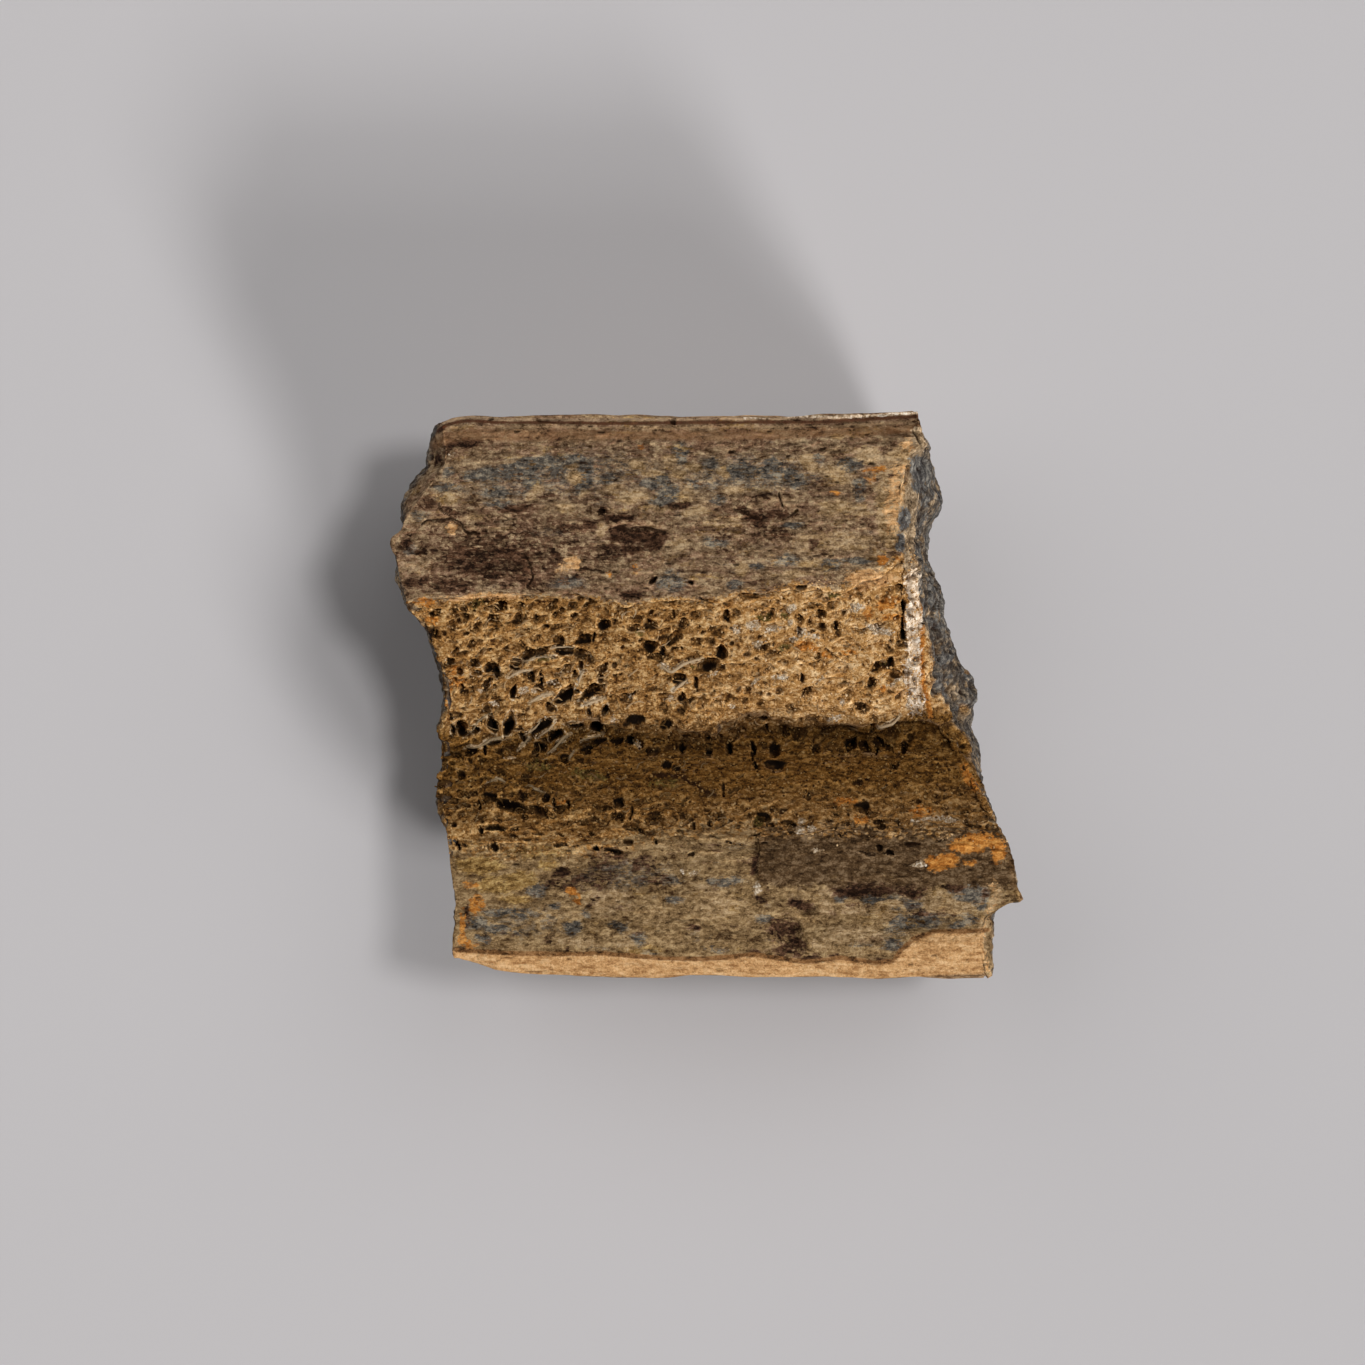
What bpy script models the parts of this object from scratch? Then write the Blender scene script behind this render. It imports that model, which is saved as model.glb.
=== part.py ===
"""Fossil bone fragment: a length of thick shaft wall, split along its grain and snapped at both ends.

It lies on its rounded outer surface with the marrow side up. +X runs along the grain, +Y across it and
+Z up. All sizes below are millimetres, and MM turns them into Blender's metres.
"""

import math

import bmesh
import bpy
import numpy as np

MM = 0.001
NAME = "fossil_bone_fragment"

# Driving dimensions of the section, seen along the grain.
OUTER_CENTRE_HEIGHT = 20.0
OUTER_DEPTH = 20.36
OUTER_ROUNDNESS = 2.6
CORNER_ANGLE = math.radians(52)
STRAIGHT_SHARE = 0.22

# Rows of the marrow side, from the lower long edge to the upper one: place across the grain, then the
# height at the left end, in the middle and at the right end.
STATION_REACH = 27.0
MARROW_SIDE = (
    (-28.3, 20.4, 21.2, 21.4),
    (-26.0, 22.0, 23.0, 23.2),
    (-22.3, 21.6, 22.9, 22.9),
    (-17.3, 20.6, 22.4, 22.4),
    (-14.3, 19.9, 21.9, 22.0),
    (-12.3, 19.2, 21.2, 21.2),
    (-10.8, 18.5, 20.2, 20.2),
    (-9.3, 17.8, 18.7, 18.7),
    (-7.8, 17.0, 16.7, 17.0),
    (-6.3, 16.4, 14.5, 15.2),
    (-4.8, 16.1, 12.5, 14.0),
    (-3.6, 16.2, 12.1, 13.8),
    (-2.7, 16.7, 13.6, 14.8),
    (-2.0, 17.4, 16.3, 16.9),
    (-1.3, 17.9, 17.4, 17.6),
    (0.7, 18.9, 18.6, 18.8),
    (4.7, 20.7, 21.2, 21.2),
    (8.7, 23.0, 23.9, 23.8),
    (10.7, 24.2, 24.8, 24.7),
    (15.7, 24.8, 25.3, 25.2),
    (21.7, 24.7, 25.4, 25.2),
    (26.7, 24.4, 25.0, 24.8),
    (28.5, 23.9, 24.3, 24.2),
)

# Long edges: place along the grain, then place across it.
UPPER_EDGE = ((-27.0, 27.1), (-25.5, 27.8), (-20.0, 27.9), (0.0, 27.9), (10.0, 28.1), (21.3, 28.5))
LOWER_EDGE = (
    (-24.9, -25.9), (-24.2, -26.4), (-22.9, -26.8), (-20.0, -27.6), (-14.5, -27.9), (0.0, -28.1),
    (28.5, -28.3),
)

# Snapped ends: place across the grain, then place along it.
LEFT_OUTLINE = (
    (-26.0, -24.8), (-22.8, -24.9), (-19.8, -25.3), (-16.8, -25.8), (-13.8, -26.2), (-10.8, -26.7),
    (-4.3, -26.7), (-0.2, -26.4), (2.7, -26.7), (5.1, -27.5), (7.0, -28.2), (8.7, -29.7), (11.1, -30.5),
    (12.7, -30.8), (14.7, -31.0), (15.9, -30.9), (17.2, -30.2), (19.6, -29.9), (21.2, -29.2), (22.2, -28.6),
    (23.2, -27.8), (25.5, -27.3), (27.2, -26.5),
)
LEFT_FRINGE = ((17.5, 0.0), (19.6, 1.2), (21.5, 1.7), (25.0, 1.5), (26.6, 0.6), (27.3, 0.1))
RIGHT_RIM = (
    (-28.3, 28.4), (-26.5, 28.0), (-24.8, 27.7), (-23.8, 27.8), (-22.3, 28.3), (-21.2, 29.8), (-20.5, 31.3),
    (-18.8, 31.1), (-16.8, 30.7), (-13.8, 29.8), (-12.3, 29.3), (-10.8, 28.3), (-8.8, 27.3), (-6.1, 26.0),
    (-4.1, 25.2), (-2.3, 24.0), (-0.5, 22.6), (0.7, 21.3), (4.7, 20.5), (8.7, 20.2), (12.7, 20.1),
    (14.7, 19.5), (15.9, 18.8), (17.7, 19.3), (19.7, 19.6), (24.0, 20.1), (25.2, 21.6), (26.5, 21.2),
    (28.5, 21.2),
)
RIGHT_FOOT = (
    (-28.3, 28.5), (-24.0, 29.0), (-21.6, 29.5), (-20.4, 29.8), (-16.0, 28.9), (-10.0, 28.5), (-8.3, 28.6),
    (-5.8, 28.4), (-3.0, 28.1), (1.2, 27.9), (2.7, 27.7), (4.2, 26.8), (6.2, 25.7), (8.2, 24.8),
    (10.2, 24.2), (12.2, 23.7), (14.2, 23.3), (17.2, 23.4), (18.7, 24.1), (20.2, 24.1), (21.2, 23.7),
    (23.2, 23.3), (26.0, 22.6), (28.5, 21.0),
)
# How far an end has gone from its rim to its foot line, by the depth below the marrow side.
RIGHT_SLOPE = ((0.0, 0.0), (1.4, 0.3), (5.0, 0.5), (9.0, 0.85), (12.5, 1.0), (18.0, 0.86), (26.0, 0.4))
LEFT_SLOPE = ((0.0, 0.0), (2.2, 0.85), (3.6, 1.0), (26.0, 1.0))
LEFT_UNDERCUT = ((0.0, 0.0), (7.0, 0.1), (14.0, 0.9), (20.0, 1.9), (26.0, 2.8))

# Ledge where the dense wall gives way to the spongy slope: place along the grain, then across it.
SPONGY_EDGE = (
    (-31.0, 9.2), (-26.0, 9.7), (-22.0, 10.2), (-18.0, 10.0), (-11.5, 9.9), (-8.0, 9.2), (-3.0, 9.9),
    (0.0, 9.4), (3.0, 10.1), (6.0, 9.8), (9.0, 10.6), (13.0, 10.2), (17.0, 11.5), (20.0, 13.8),
)
SPONGY_DROP = 0.55
SPONGY_LOWER_EDGE = -13.4

# Broad hollows (positive depth) and swells (negative depth) of the marrow side:
# along, across, length, width, turn in degrees, depth.
HOLLOWS = (
    (-6.8, 15.9, 6.6, 2.8, 0, 0.50),
    (7.4, 18.6, 7.5, 2.2, 8, 0.35),
    (-24.0, 15.5, 12.0, 6.0, -5, 0.45),
    (-9.8, -16.3, 9.6, 4.4, 3, 0.55),
    (8.6, -24.2, 3.0, 5.6, 12, 0.75),
    (10.3, -21.3, 2.6, 1.6, 0, 0.45),
    (16.5, -19.4, 7.0, 2.2, 4, 0.45),
    (22.5, -22.6, 7.5, 2.0, 5, 0.50),
    (-14.0, 23.0, 16.0, 4.0, 0, -0.25),
    (25.0, -14.5, 8.0, 4.0, 12, -0.40),
    (-17.0, -21.0, 9.0, 5.0, 0, -0.25),
    (1.0, -18.5, 7.0, 5.0, 0, -0.35),
)
# The dark outer sheet left standing over the lower wall: its corner and its height.
SHEET_LEFT = 4.9
SHEET_LOWER = -19.8
SHEET_UPPER = -13.0
SHEET_HEIGHT = 0.4

# The largest marrow pores: along, across, length, width, turn in degrees.
PORES = (
    (0.2, 3.1, 2.0, 1.4, 25), (1.7, 4.5, 1.5, 1.3, 0), (-5.5, 4.7, 1.7, 1.5, 0), (-4.0, 4.5, 1.2, 1.0, 0),
    (-10.2, 7.2, 1.5, 1.0, 0), (-7.2, 6.9, 1.8, 0.9, 0), (-3.2, 5.7, 2.4, 0.9, 25),
    (-13.5, 4.6, 2.8, 1.0, 0), (-17.0, 4.0, 2.8, 0.9, 5), (-12.2, 5.7, 1.6, 1.0, 0),
    (-21.6, 2.8, 1.6, 1.4, 0), (-19.1, 3.1, 1.3, 0.9, 20), (-20.5, 9.0, 1.6, 1.0, 0),
    (-13.9, 0.5, 2.6, 1.2, 25), (-11.2, 0.3, 2.6, 1.1, 20), (-8.0, -0.2, 1.6, 0.9, 0),
    (-19.8, -2.9, 2.2, 1.3, 70), (-16.2, -2.7, 3.0, 1.2, 35), (-21.5, -2.8, 1.8, 1.0, 80),
    (-6.8, -2.0, 2.0, 1.4, 0), (-3.8, -2.8, 1.7, 1.3, 0), (-11.0, -3.2, 1.3, 1.0, 0),
    (-2.6, 1.8, 1.6, 1.0, 15), (-2.3, -0.4, 1.4, 0.9, 80), (-5.5, -5.3, 1.4, 1.4, 0),
    (-4.1, -6.9, 1.4, 1.0, 0), (7.2, -5.3, 1.5, 1.4, 0), (7.0, -6.9, 2.2, 1.4, 0), (6.0, 8.4, 1.9, 1.4, 0),
    (8.0, 5.3, 2.2, 1.1, 0), (12.8, 10.4, 2.0, 1.2, 0), (18.0, 3.2, 2.2, 1.1, 15), (16.6, -1.3, 1.6, 0.8, 0),
    (10.5, 0.4, 1.6, 0.8, 15), (-21.0, -13.1, 2.4, 1.1, 0), (-17.0, -11.0, 5.0, 0.9, -6),
    (2.9, -11.7, 3.4, 0.9, -5), (-24.2, -10.0, 1.8, 0.9, 0), (-8.6, -9.0, 2.6, 0.9, 8),
)
PORE_DEPTH = 1.9
PORE_STEEPNESS = 1.5
# The lip above the trough wanders: place along the grain, then how far it is pushed across it.
LIP_PATH = (
    (-31.0, 0.0), (-13.0, -0.6), (-7.0, -1.5), (-1.0, -0.9), (2.0, -0.2), (5.5, 0.5), (9.5, 0.2),
    (14.0, -0.7), (18.5, -0.9), (21.0, 0.3), (31.0, 0.0),
)
LIP_PLACE = -2.3
LIP_REACH = 4.5
# A dark groove runs down the far side of the trough.
GROOVE = ((-5.0, -7.9), (-2.0, -8.3), (-0.5, -9.3), (1.0, -10.0))
GROOVE_WIDTH = 0.9
GROOVE_DEPTH = 0.7

# Roughness of the broken faces.
END_LUMP_SIZE = 5.2
END_LUMP_HEIGHT = 0.85
END_GRIT_SIZE = 1.7
END_GRIT_HEIGHT = 0.35
SIDE_LEDGE_LENGTH = 13.0
SIDE_LEDGE_THICKNESS = 1.9
SIDE_LEDGE_HEIGHT = 0.75
MARROW_LUMP_SIZE = 7.0
MARROW_LUMP_HEIGHT = 0.35
RIDGE_LENGTH = 8.0
RIDGE_WIDTH = 1.1
RIDGE_HEIGHT = 0.35
SPONGY_RELIEF_SIZE = 1.5
SPONGY_RELIEF_HEIGHT = 0.6
UNDERSIDE_RELIEF = 0.3
NOISE_SEED = 11

# Grid that the relief is modelled on, and the share of its faces that the finished solid keeps. Its rows
# across the grain lie closest where the pores are: share of the rows, then share of the width.
CUTS_ALONG = 140
CUTS_ACROSS = 104
CUTS_UP = 30
ROW_SPREAD = ((0.0, 0.0), (0.2, 0.25), (0.78, 0.7), (1.0, 1.0))
KEPT_SHARE = 0.105

TABLE_BLOCK = 90.0
BONE_COLOUR = (0.20, 0.125, 0.062, 1.0)
BONE_ROUGHNESS = 0.86


def smooth_line(points, at):
    """Values at the given places on a smooth line through hand-set (place, value) points."""
    places, values = np.array(points, float).T
    slopes = np.gradient(values, places)
    index = np.clip(np.searchsorted(places, at) - 1, 0, len(places) - 2)
    step = places[index + 1] - places[index]
    t = np.clip((at - places[index]) / step, 0.0, 1.0)
    rise = values[index + 1] - values[index]
    start = slopes[index] * step
    end = slopes[index + 1] * step
    return values[index] + t * start + t**2 * (3 * rise - 2 * start - end) + t**3 * (start + end - 2 * rise)


def broken_line(points, at):
    """Values at the given places on straight runs between hand-set points, as a snapped edge has."""
    places, values = np.array(points, float).T
    return np.interp(at, places, values)


def ease(value, low, high):
    """0 below low, 1 above high and a smooth rise between them."""
    t = np.clip((value - low) / (high - low), 0.0, 1.0)
    return t * t * (3 - 2 * t)


def corner_values(cell, seed):
    """A repeatable number from 0 to 1 for each whole-numbered lattice corner."""
    mixed = cell[..., 0] * 73856093 ^ cell[..., 1] * 19349663 ^ cell[..., 2] * 83492791 ^ seed * 2654435761
    mixed = mixed & 0xFFFFFFFF
    mixed = ((mixed >> 15) ^ mixed) * 739982445 & 0xFFFFFFFF
    mixed = ((mixed >> 15) ^ mixed) * 695872825 & 0xFFFFFFFF
    return ((mixed >> 15) ^ mixed) / 0xFFFFFFFF


def soft_noise(points, seed):
    """Smooth lattice noise from -1 to 1."""
    cell = np.floor(points).astype(np.int64)
    part = points - cell
    part = part * part * (3 - 2 * part)
    total = np.zeros(len(points))
    for corner in np.ndindex(2, 2, 2):
        offset = np.array(corner)
        weight = np.prod(np.where(offset == 1, part, 1 - part), axis=1)
        total += weight * corner_values(cell + offset, seed)
    return total * 2 - 1


def layered_noise(points, layers, seed):
    """Layers of soft noise, each half as large and half as high as the one before."""
    total = np.zeros(len(points))
    for layer in range(layers):
        total += soft_noise(points * 2**layer, seed + layer) / 2**layer
    return total


def wall_distance(points, seed):
    """Distance from each point to the nearest wall between rounded cells, in cell sizes."""
    cell = np.floor(points).astype(np.int64)
    nearest = np.full(len(points), 9.0)
    second = np.full(len(points), 9.0)
    for corner in np.ndindex(3, 3, 3):
        other = cell + np.array(corner) - 1
        centre = other + np.stack([corner_values(other, seed + axis) for axis in range(3)], axis=1)
        distance = np.linalg.norm(points - centre, axis=1)
        second = np.minimum(second, np.maximum(nearest, distance))
        nearest = np.minimum(nearest, distance)
    return second - nearest


def oval_reach(x, y, oval):
    """How far each place is from the middle of a turned oval: 0 at its middle and 1 on its rim."""
    along, across, length, width, turn = oval[:5]
    angle = math.radians(turn)
    dx = x - along
    dy = y - across
    ahead = dx * math.cos(angle) + dy * math.sin(angle)
    aside = dy * math.cos(angle) - dx * math.sin(angle)
    return np.hypot(ahead / (length / 2), aside / (width / 2))


def marrow_height(x, y):
    """Height of the smooth marrow side, from its section at three places along the grain."""
    rows = np.array(MARROW_SIDE)
    nearness = 1 - ease(np.abs(y - LIP_PLACE), 0.0, LIP_REACH)
    y = y - smooth_line(LIP_PATH, x) * nearness
    left, middle, right = (smooth_line(rows[:, [0, column]], y) for column in (1, 2, 3))
    to_left = ease(-x, 0.0, STATION_REACH)
    to_right = ease(x, 0.0, STATION_REACH)
    return middle + (left - middle) * to_left + (right - middle) * to_right


def spongy_share(x, y):
    """1 in the spongy slope and the trough, 0 on the dense walls on both sides of them."""
    ragged = 0.5 * soft_noise(np.stack([x / 1.6, y / 9.0, x * 0], axis=1), NOISE_SEED)
    below = 1 - ease(y - broken_line(SPONGY_EDGE, x) - ragged, -0.15, 0.25)
    above = ease(y - SPONGY_LOWER_EDGE - 2 * ragged, -0.6, 0.8)
    return below * above


def segment_distance(x, y, route):
    """Distance in plan from each place to a route of straight runs."""
    nearest = np.full(len(x), 99.0)
    for start, end in zip(route, route[1:]):
        run = np.subtract(end, start)
        share = np.clip(((x - start[0]) * run[0] + (y - start[1]) * run[1]) / (run @ run), 0, 1)
        nearest = np.minimum(nearest, np.hypot(x - start[0] - share * run[0], y - start[1] - share * run[1]))
    return nearest


def pore_depth(x, y):
    """Depth of the largest marrow pores, each with a flat floor and steep rounded walls."""
    depth = np.zeros(len(x))
    for pore in PORES:
        floor = min(PORE_DEPTH, PORE_STEEPNESS * pore[3])
        depth = np.maximum(depth, floor * (1 - ease(oval_reach(x, y, pore), 0.5, 1.2)))
    return depth


def marrow_relief(x, y, z):
    """Rise of the marrow side over its smooth form: ledge, sheet, hollows, lumps, pores and groove."""
    places = np.stack([x, y, z], axis=1)
    spongy = spongy_share(x, y)
    rise = -SPONGY_DROP * spongy
    rise += MARROW_LUMP_HEIGHT * layered_noise(places / (MARROW_LUMP_SIZE, 3.6, 9.0), 2, NOISE_SEED + 3)
    for hollow in HOLLOWS:
        rise -= hollow[5] * (1 - ease(oval_reach(x, y, hollow), 0.25, 1.2))
    edge_wave = 0.5 * soft_noise(places / (2.2, 2.2, 50.0), NOISE_SEED + 5)
    on_sheet = ease(x + edge_wave, SHEET_LEFT, SHEET_LEFT + 0.5)
    on_sheet *= ease(y + edge_wave, SHEET_LOWER, SHEET_LOWER + 1.6)
    on_sheet *= 1 - ease(y + edge_wave, SHEET_UPPER, SHEET_UPPER + 1.6)
    rise += SHEET_HEIGHT * on_sheet
    ridges = soft_noise(places / (RIDGE_LENGTH, RIDGE_WIDTH, 50.0), NOISE_SEED + 8)
    rise += RIDGE_HEIGHT * ridges * spongy * (1 - ease(y, -7.0, -5.0))
    cells = places / (1.9 * SPONGY_RELIEF_SIZE, SPONGY_RELIEF_SIZE, SPONGY_RELIEF_SIZE)
    rise -= SPONGY_RELIEF_HEIGHT * spongy * ease(wall_distance(cells, NOISE_SEED + 20), 0.12, 0.5)
    rise -= pore_depth(x, y)
    rise -= GROOVE_DEPTH * (1 - ease(segment_distance(x, y, GROOVE), 0.0, GROOVE_WIDTH))
    return rise


def end_relief(x, y, z):
    """Rise of the two snapped ends: lumps, grit and the pores of the spongy middle."""
    places = np.stack([x, y, z], axis=1)
    rise = END_LUMP_HEIGHT * layered_noise(places / END_LUMP_SIZE, 2, NOISE_SEED + 30)
    rise += END_GRIT_HEIGHT * soft_noise(places / END_GRIT_SIZE, NOISE_SEED + 33)
    inner = (1 - ease(np.abs(y), 13.0, 19.0)) * ease(z, 5.0, 8.5)
    return rise - 0.8 * inner * ease(wall_distance(places / 2.2, NOISE_SEED + 36), 0.15, 0.5)


def side_relief(x, y, z):
    """Rise of the long split sides: thin ledges that run with the grain."""
    wave = layered_noise(np.stack([x / SIDE_LEDGE_LENGTH, y * 0, z / 8.0], axis=1), 2, NOISE_SEED + 40)
    level = (z + 1.6 * wave) / SIDE_LEDGE_THICKNESS
    lower = np.stack([np.floor(level), np.sign(y), y * 0], axis=1).astype(np.int64)
    rising = ease(level - np.floor(level), 0.5, 1.0)
    ledges = corner_values(lower, NOISE_SEED) * (1 - rising)
    ledges += corner_values(lower + (1, 0, 0), NOISE_SEED) * rising
    grain = soft_noise(np.stack([x / 6.0, y * 0, z / 1.1], axis=1), NOISE_SEED + 44)
    return SIDE_LEDGE_HEIGHT * (ledges - 0.5) + 0.25 * grain + 0.35 * wave


def underside_relief(x, y, z):
    """Rise of the rounded outer surface: low swells and faint grain."""
    places = np.stack([x / 11.0, y / 5.0, z / 9.0], axis=1)
    return UNDERSIDE_RELIEF * layered_noise(places, 2, NOISE_SEED + 50)


def outer_curve(edge, angle):
    """Point of the rounded outer surface at an angle that runs from the long edge to the foot."""
    across = edge * np.abs(np.cos(angle)) ** (2 / OUTER_ROUNDNESS) * np.sign(np.cos(angle))
    height = OUTER_CENTRE_HEIGHT - OUTER_DEPTH * np.abs(np.sin(angle)) ** (2 / OUTER_ROUNDNESS)
    return np.stack([across, height], axis=1)


def side_curve(edge, edge_height, share):
    """Point of a long side, from the corner above the foot (share 0) up to the long edge (share 1)."""
    curved = np.clip(share / (1 - STRAIGHT_SHARE), 0.0, 1.0)
    straight = np.clip((share - 1 + STRAIGHT_SHARE) / STRAIGHT_SHARE, 0.0, 1.0)
    point = outer_curve(edge, CORNER_ANGLE * (1 - curved))
    point[:, 1] += (edge_height - OUTER_CENTRE_HEIGHT) * straight
    return point


def section_point(x, across, up):
    """Place in the section for shares 0 to 1 across and up, blended from the section's four sides."""
    upper_edge = smooth_line(UPPER_EDGE, x)
    lower_edge = smooth_line(LOWER_EDGE, x)
    upper_height = marrow_height(x, upper_edge)
    lower_height = marrow_height(x, lower_edge)
    top_across = lower_edge + (upper_edge - lower_edge) * across
    top = np.stack([top_across, marrow_height(x, top_across)], axis=1)
    angle = math.pi - CORNER_ANGLE - (math.pi - 2 * CORNER_ANGLE) * across
    half_width = (upper_edge - lower_edge) / 2
    bottom = outer_curve(half_width, angle)
    lower_side = side_curve(lower_edge, lower_height, up)
    upper_side = side_curve(upper_edge, upper_height, up)
    a = across[:, None]
    u = up[:, None]
    ruled = (1 - u) * bottom + u * top + (1 - a) * lower_side + a * upper_side
    foot_lower = outer_curve(lower_edge, np.full(len(x), CORNER_ANGLE))
    foot_upper = outer_curve(upper_edge, np.full(len(x), CORNER_ANGLE))
    rim_lower = np.stack([lower_edge, lower_height], axis=1)
    rim_upper = np.stack([upper_edge, upper_height], axis=1)
    corners = (1 - u) * ((1 - a) * foot_lower + a * foot_upper) + u * ((1 - a) * rim_lower + a * rim_upper)
    return ruled - corners


def end_places(y, depth):
    """Where the left and the right end stand along the grain, at a place across it and a depth."""
    left = broken_line(LEFT_OUTLINE, y)
    left += broken_line(LEFT_FRINGE, y) * (1 - smooth_line(LEFT_SLOPE, depth))
    left += smooth_line(LEFT_UNDERCUT, depth)
    rim = broken_line(RIGHT_RIM, y)
    right = rim + (broken_line(RIGHT_FOOT, y) - rim) * smooth_line(RIGHT_SLOPE, depth)
    return left, right


def smooth_form(cube):
    """Moves the points of a cube from -1 to 1 onto the fragment's smooth form."""
    along, across, up = ((cube + 1) / 2).T
    across = broken_line(ROW_SPREAD, across)
    x = -27.0 + 54.0 * along
    for _ in range(3):
        y, z = section_point(x, across, up).T
        depth = np.maximum(marrow_height(x, y) - z, 0.0)
        left, right = end_places(y, depth)
        x = left + (right - left) * along
    return np.stack([x, y, z], axis=1)


def relief(points, normals):
    """Rise along the normal at each point, blended from the faces that the normal leans to."""
    x, y, z = points.T
    lean = normals**2
    upward = np.where(normals[:, 2] > 0, lean[:, 2], 0.0)
    downward = lean[:, 2] - upward
    rise = upward * marrow_relief(x, y, z)
    rise += lean[:, 0] * end_relief(x, y, z)
    rise += lean[:, 1] * side_relief(x, y, z)
    return rise + downward * underside_relief(x, y, z)


def gridded_cube():
    """A cube of edge 2 whose faces carry an even grid, finer along the grain than up."""
    mesh = bmesh.new()
    bmesh.ops.create_cube(mesh, size=2)
    for axis, cuts in enumerate((CUTS_ALONG, CUTS_ACROSS, CUTS_UP)):
        edges = [edge for edge in mesh.edges if abs(edge.verts[0].co[axis] - edge.verts[1].co[axis]) > 1]
        bmesh.ops.subdivide_edges(mesh, edges=edges, cuts=cuts, use_grid_fill=True)
    return mesh


def move_points(mesh, points):
    for vertex, point in zip(mesh.verts, points):
        vertex.co = point
    mesh.normal_update()


def model_bone():
    """The whole fragment: smooth form first, then its relief."""
    mesh = gridded_cube()
    points = smooth_form(np.array([vertex.co for vertex in mesh.verts]))
    move_points(mesh, points)
    normals = np.array([vertex.normal for vertex in mesh.verts])
    points = points + normals * relief(points, normals)[:, None]
    move_points(mesh, points * MM)
    data = bpy.data.meshes.new(NAME)
    mesh.to_mesh(data)
    mesh.free()
    data.shade_smooth()
    return data


def bone_material():
    material = bpy.data.materials.new("fossil_bone")
    material.use_nodes = True
    shader = material.node_tree.nodes["Principled BSDF"]
    shader.inputs["Base Color"].default_value = BONE_COLOUR
    shader.inputs["Roughness"].default_value = BONE_ROUGHNESS
    shader.inputs["Metallic"].default_value = 0.0
    return material


def table_cutter():
    """A block whose top is the table: it cuts the worn facet that the fragment lies on."""
    mesh = bmesh.new()
    bmesh.ops.create_cube(mesh, size=TABLE_BLOCK * MM)
    data = bpy.data.meshes.new("table_cutter")
    mesh.to_mesh(data)
    mesh.free()
    cutter = bpy.data.objects.new("table_cutter", data)
    cutter.location.z = -TABLE_BLOCK / 2 * MM
    cutter.hide_render = True
    cutter.display_type = "WIRE"
    return cutter


def new_collection(name, member):
    collection = bpy.data.collections.new(name)
    bpy.context.scene.collection.children.link(collection)
    collection.objects.link(member)


def centre_over_origin(bone, cutter):
    """Sets the object and its cutter so that the origin is under the middle of the fragment's box."""
    bpy.context.view_layer.update()
    shape = bone.evaluated_get(bpy.context.evaluated_depsgraph_get()).to_mesh()
    places = np.array([vertex.co for vertex in shape.vertices])
    middle = (places.min(axis=0) + places.max(axis=0)) / 2
    for item in (bone, cutter):
        item.location.x = -middle[0]
        item.location.y = -middle[1]


def build():
    for old in list(bpy.data.objects):
        bpy.data.objects.remove(old)
    bone = bpy.data.objects.new(NAME, model_bone())
    bone.data.materials.append(bone_material())
    cutter = table_cutter()
    new_collection("fossil_bone_fragment_parts", bone)
    new_collection("cutters", cutter)
    thin = bone.modifiers.new("keep_main_faces", "DECIMATE")
    thin.ratio = KEPT_SHARE
    facet = bone.modifiers.new("worn_facet", "BOOLEAN")
    facet.object = cutter
    centre_over_origin(bone, cutter)


build()
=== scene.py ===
"""Looks of the fossil bone fragment: its fine surface, the sand in its pores, its struts and its materials.

The form is the one that the CAD solid has, modelled again on a much finer grid. Sizes are millimetres,
and MM turns them into Blender's metres. +X runs along the grain, +Y across it and +Z up.
"""

import math

import bmesh
import bpy
import numpy as np
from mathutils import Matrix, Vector


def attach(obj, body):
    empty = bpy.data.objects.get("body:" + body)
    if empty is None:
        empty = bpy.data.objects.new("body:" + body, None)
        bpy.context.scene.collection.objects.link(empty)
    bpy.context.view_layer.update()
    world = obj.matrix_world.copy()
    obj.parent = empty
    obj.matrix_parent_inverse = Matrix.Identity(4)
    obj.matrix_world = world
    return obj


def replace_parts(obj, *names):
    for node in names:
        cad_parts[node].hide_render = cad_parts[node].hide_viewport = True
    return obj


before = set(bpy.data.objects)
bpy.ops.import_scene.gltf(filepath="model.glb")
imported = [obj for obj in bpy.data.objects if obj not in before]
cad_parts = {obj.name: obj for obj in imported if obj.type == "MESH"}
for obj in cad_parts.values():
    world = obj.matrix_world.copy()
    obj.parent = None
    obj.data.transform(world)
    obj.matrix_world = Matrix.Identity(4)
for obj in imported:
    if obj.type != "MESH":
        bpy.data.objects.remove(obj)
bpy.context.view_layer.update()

MM = 0.001
NODE = "fossil_bone_fragment"
# The CAD solid was moved by this much to stand centred over its origin.
FRAME_SHIFT = (-0.093, -0.052)

# The camera looks straight down, and this much of the marrow side's plane fills the frame.
CAMERA_PLACE = (-2.34, 1.40, 525.0)
CAMERA_DISTANCE = 500.0
CAMERA_FIELD = 136.5

# Driving dimensions of the section, seen along the grain.
OUTER_CENTRE_HEIGHT = 20.0
OUTER_DEPTH = 20.36
OUTER_ROUNDNESS = 2.6
CORNER_ANGLE = math.radians(52)
STRAIGHT_SHARE = 0.22

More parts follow.
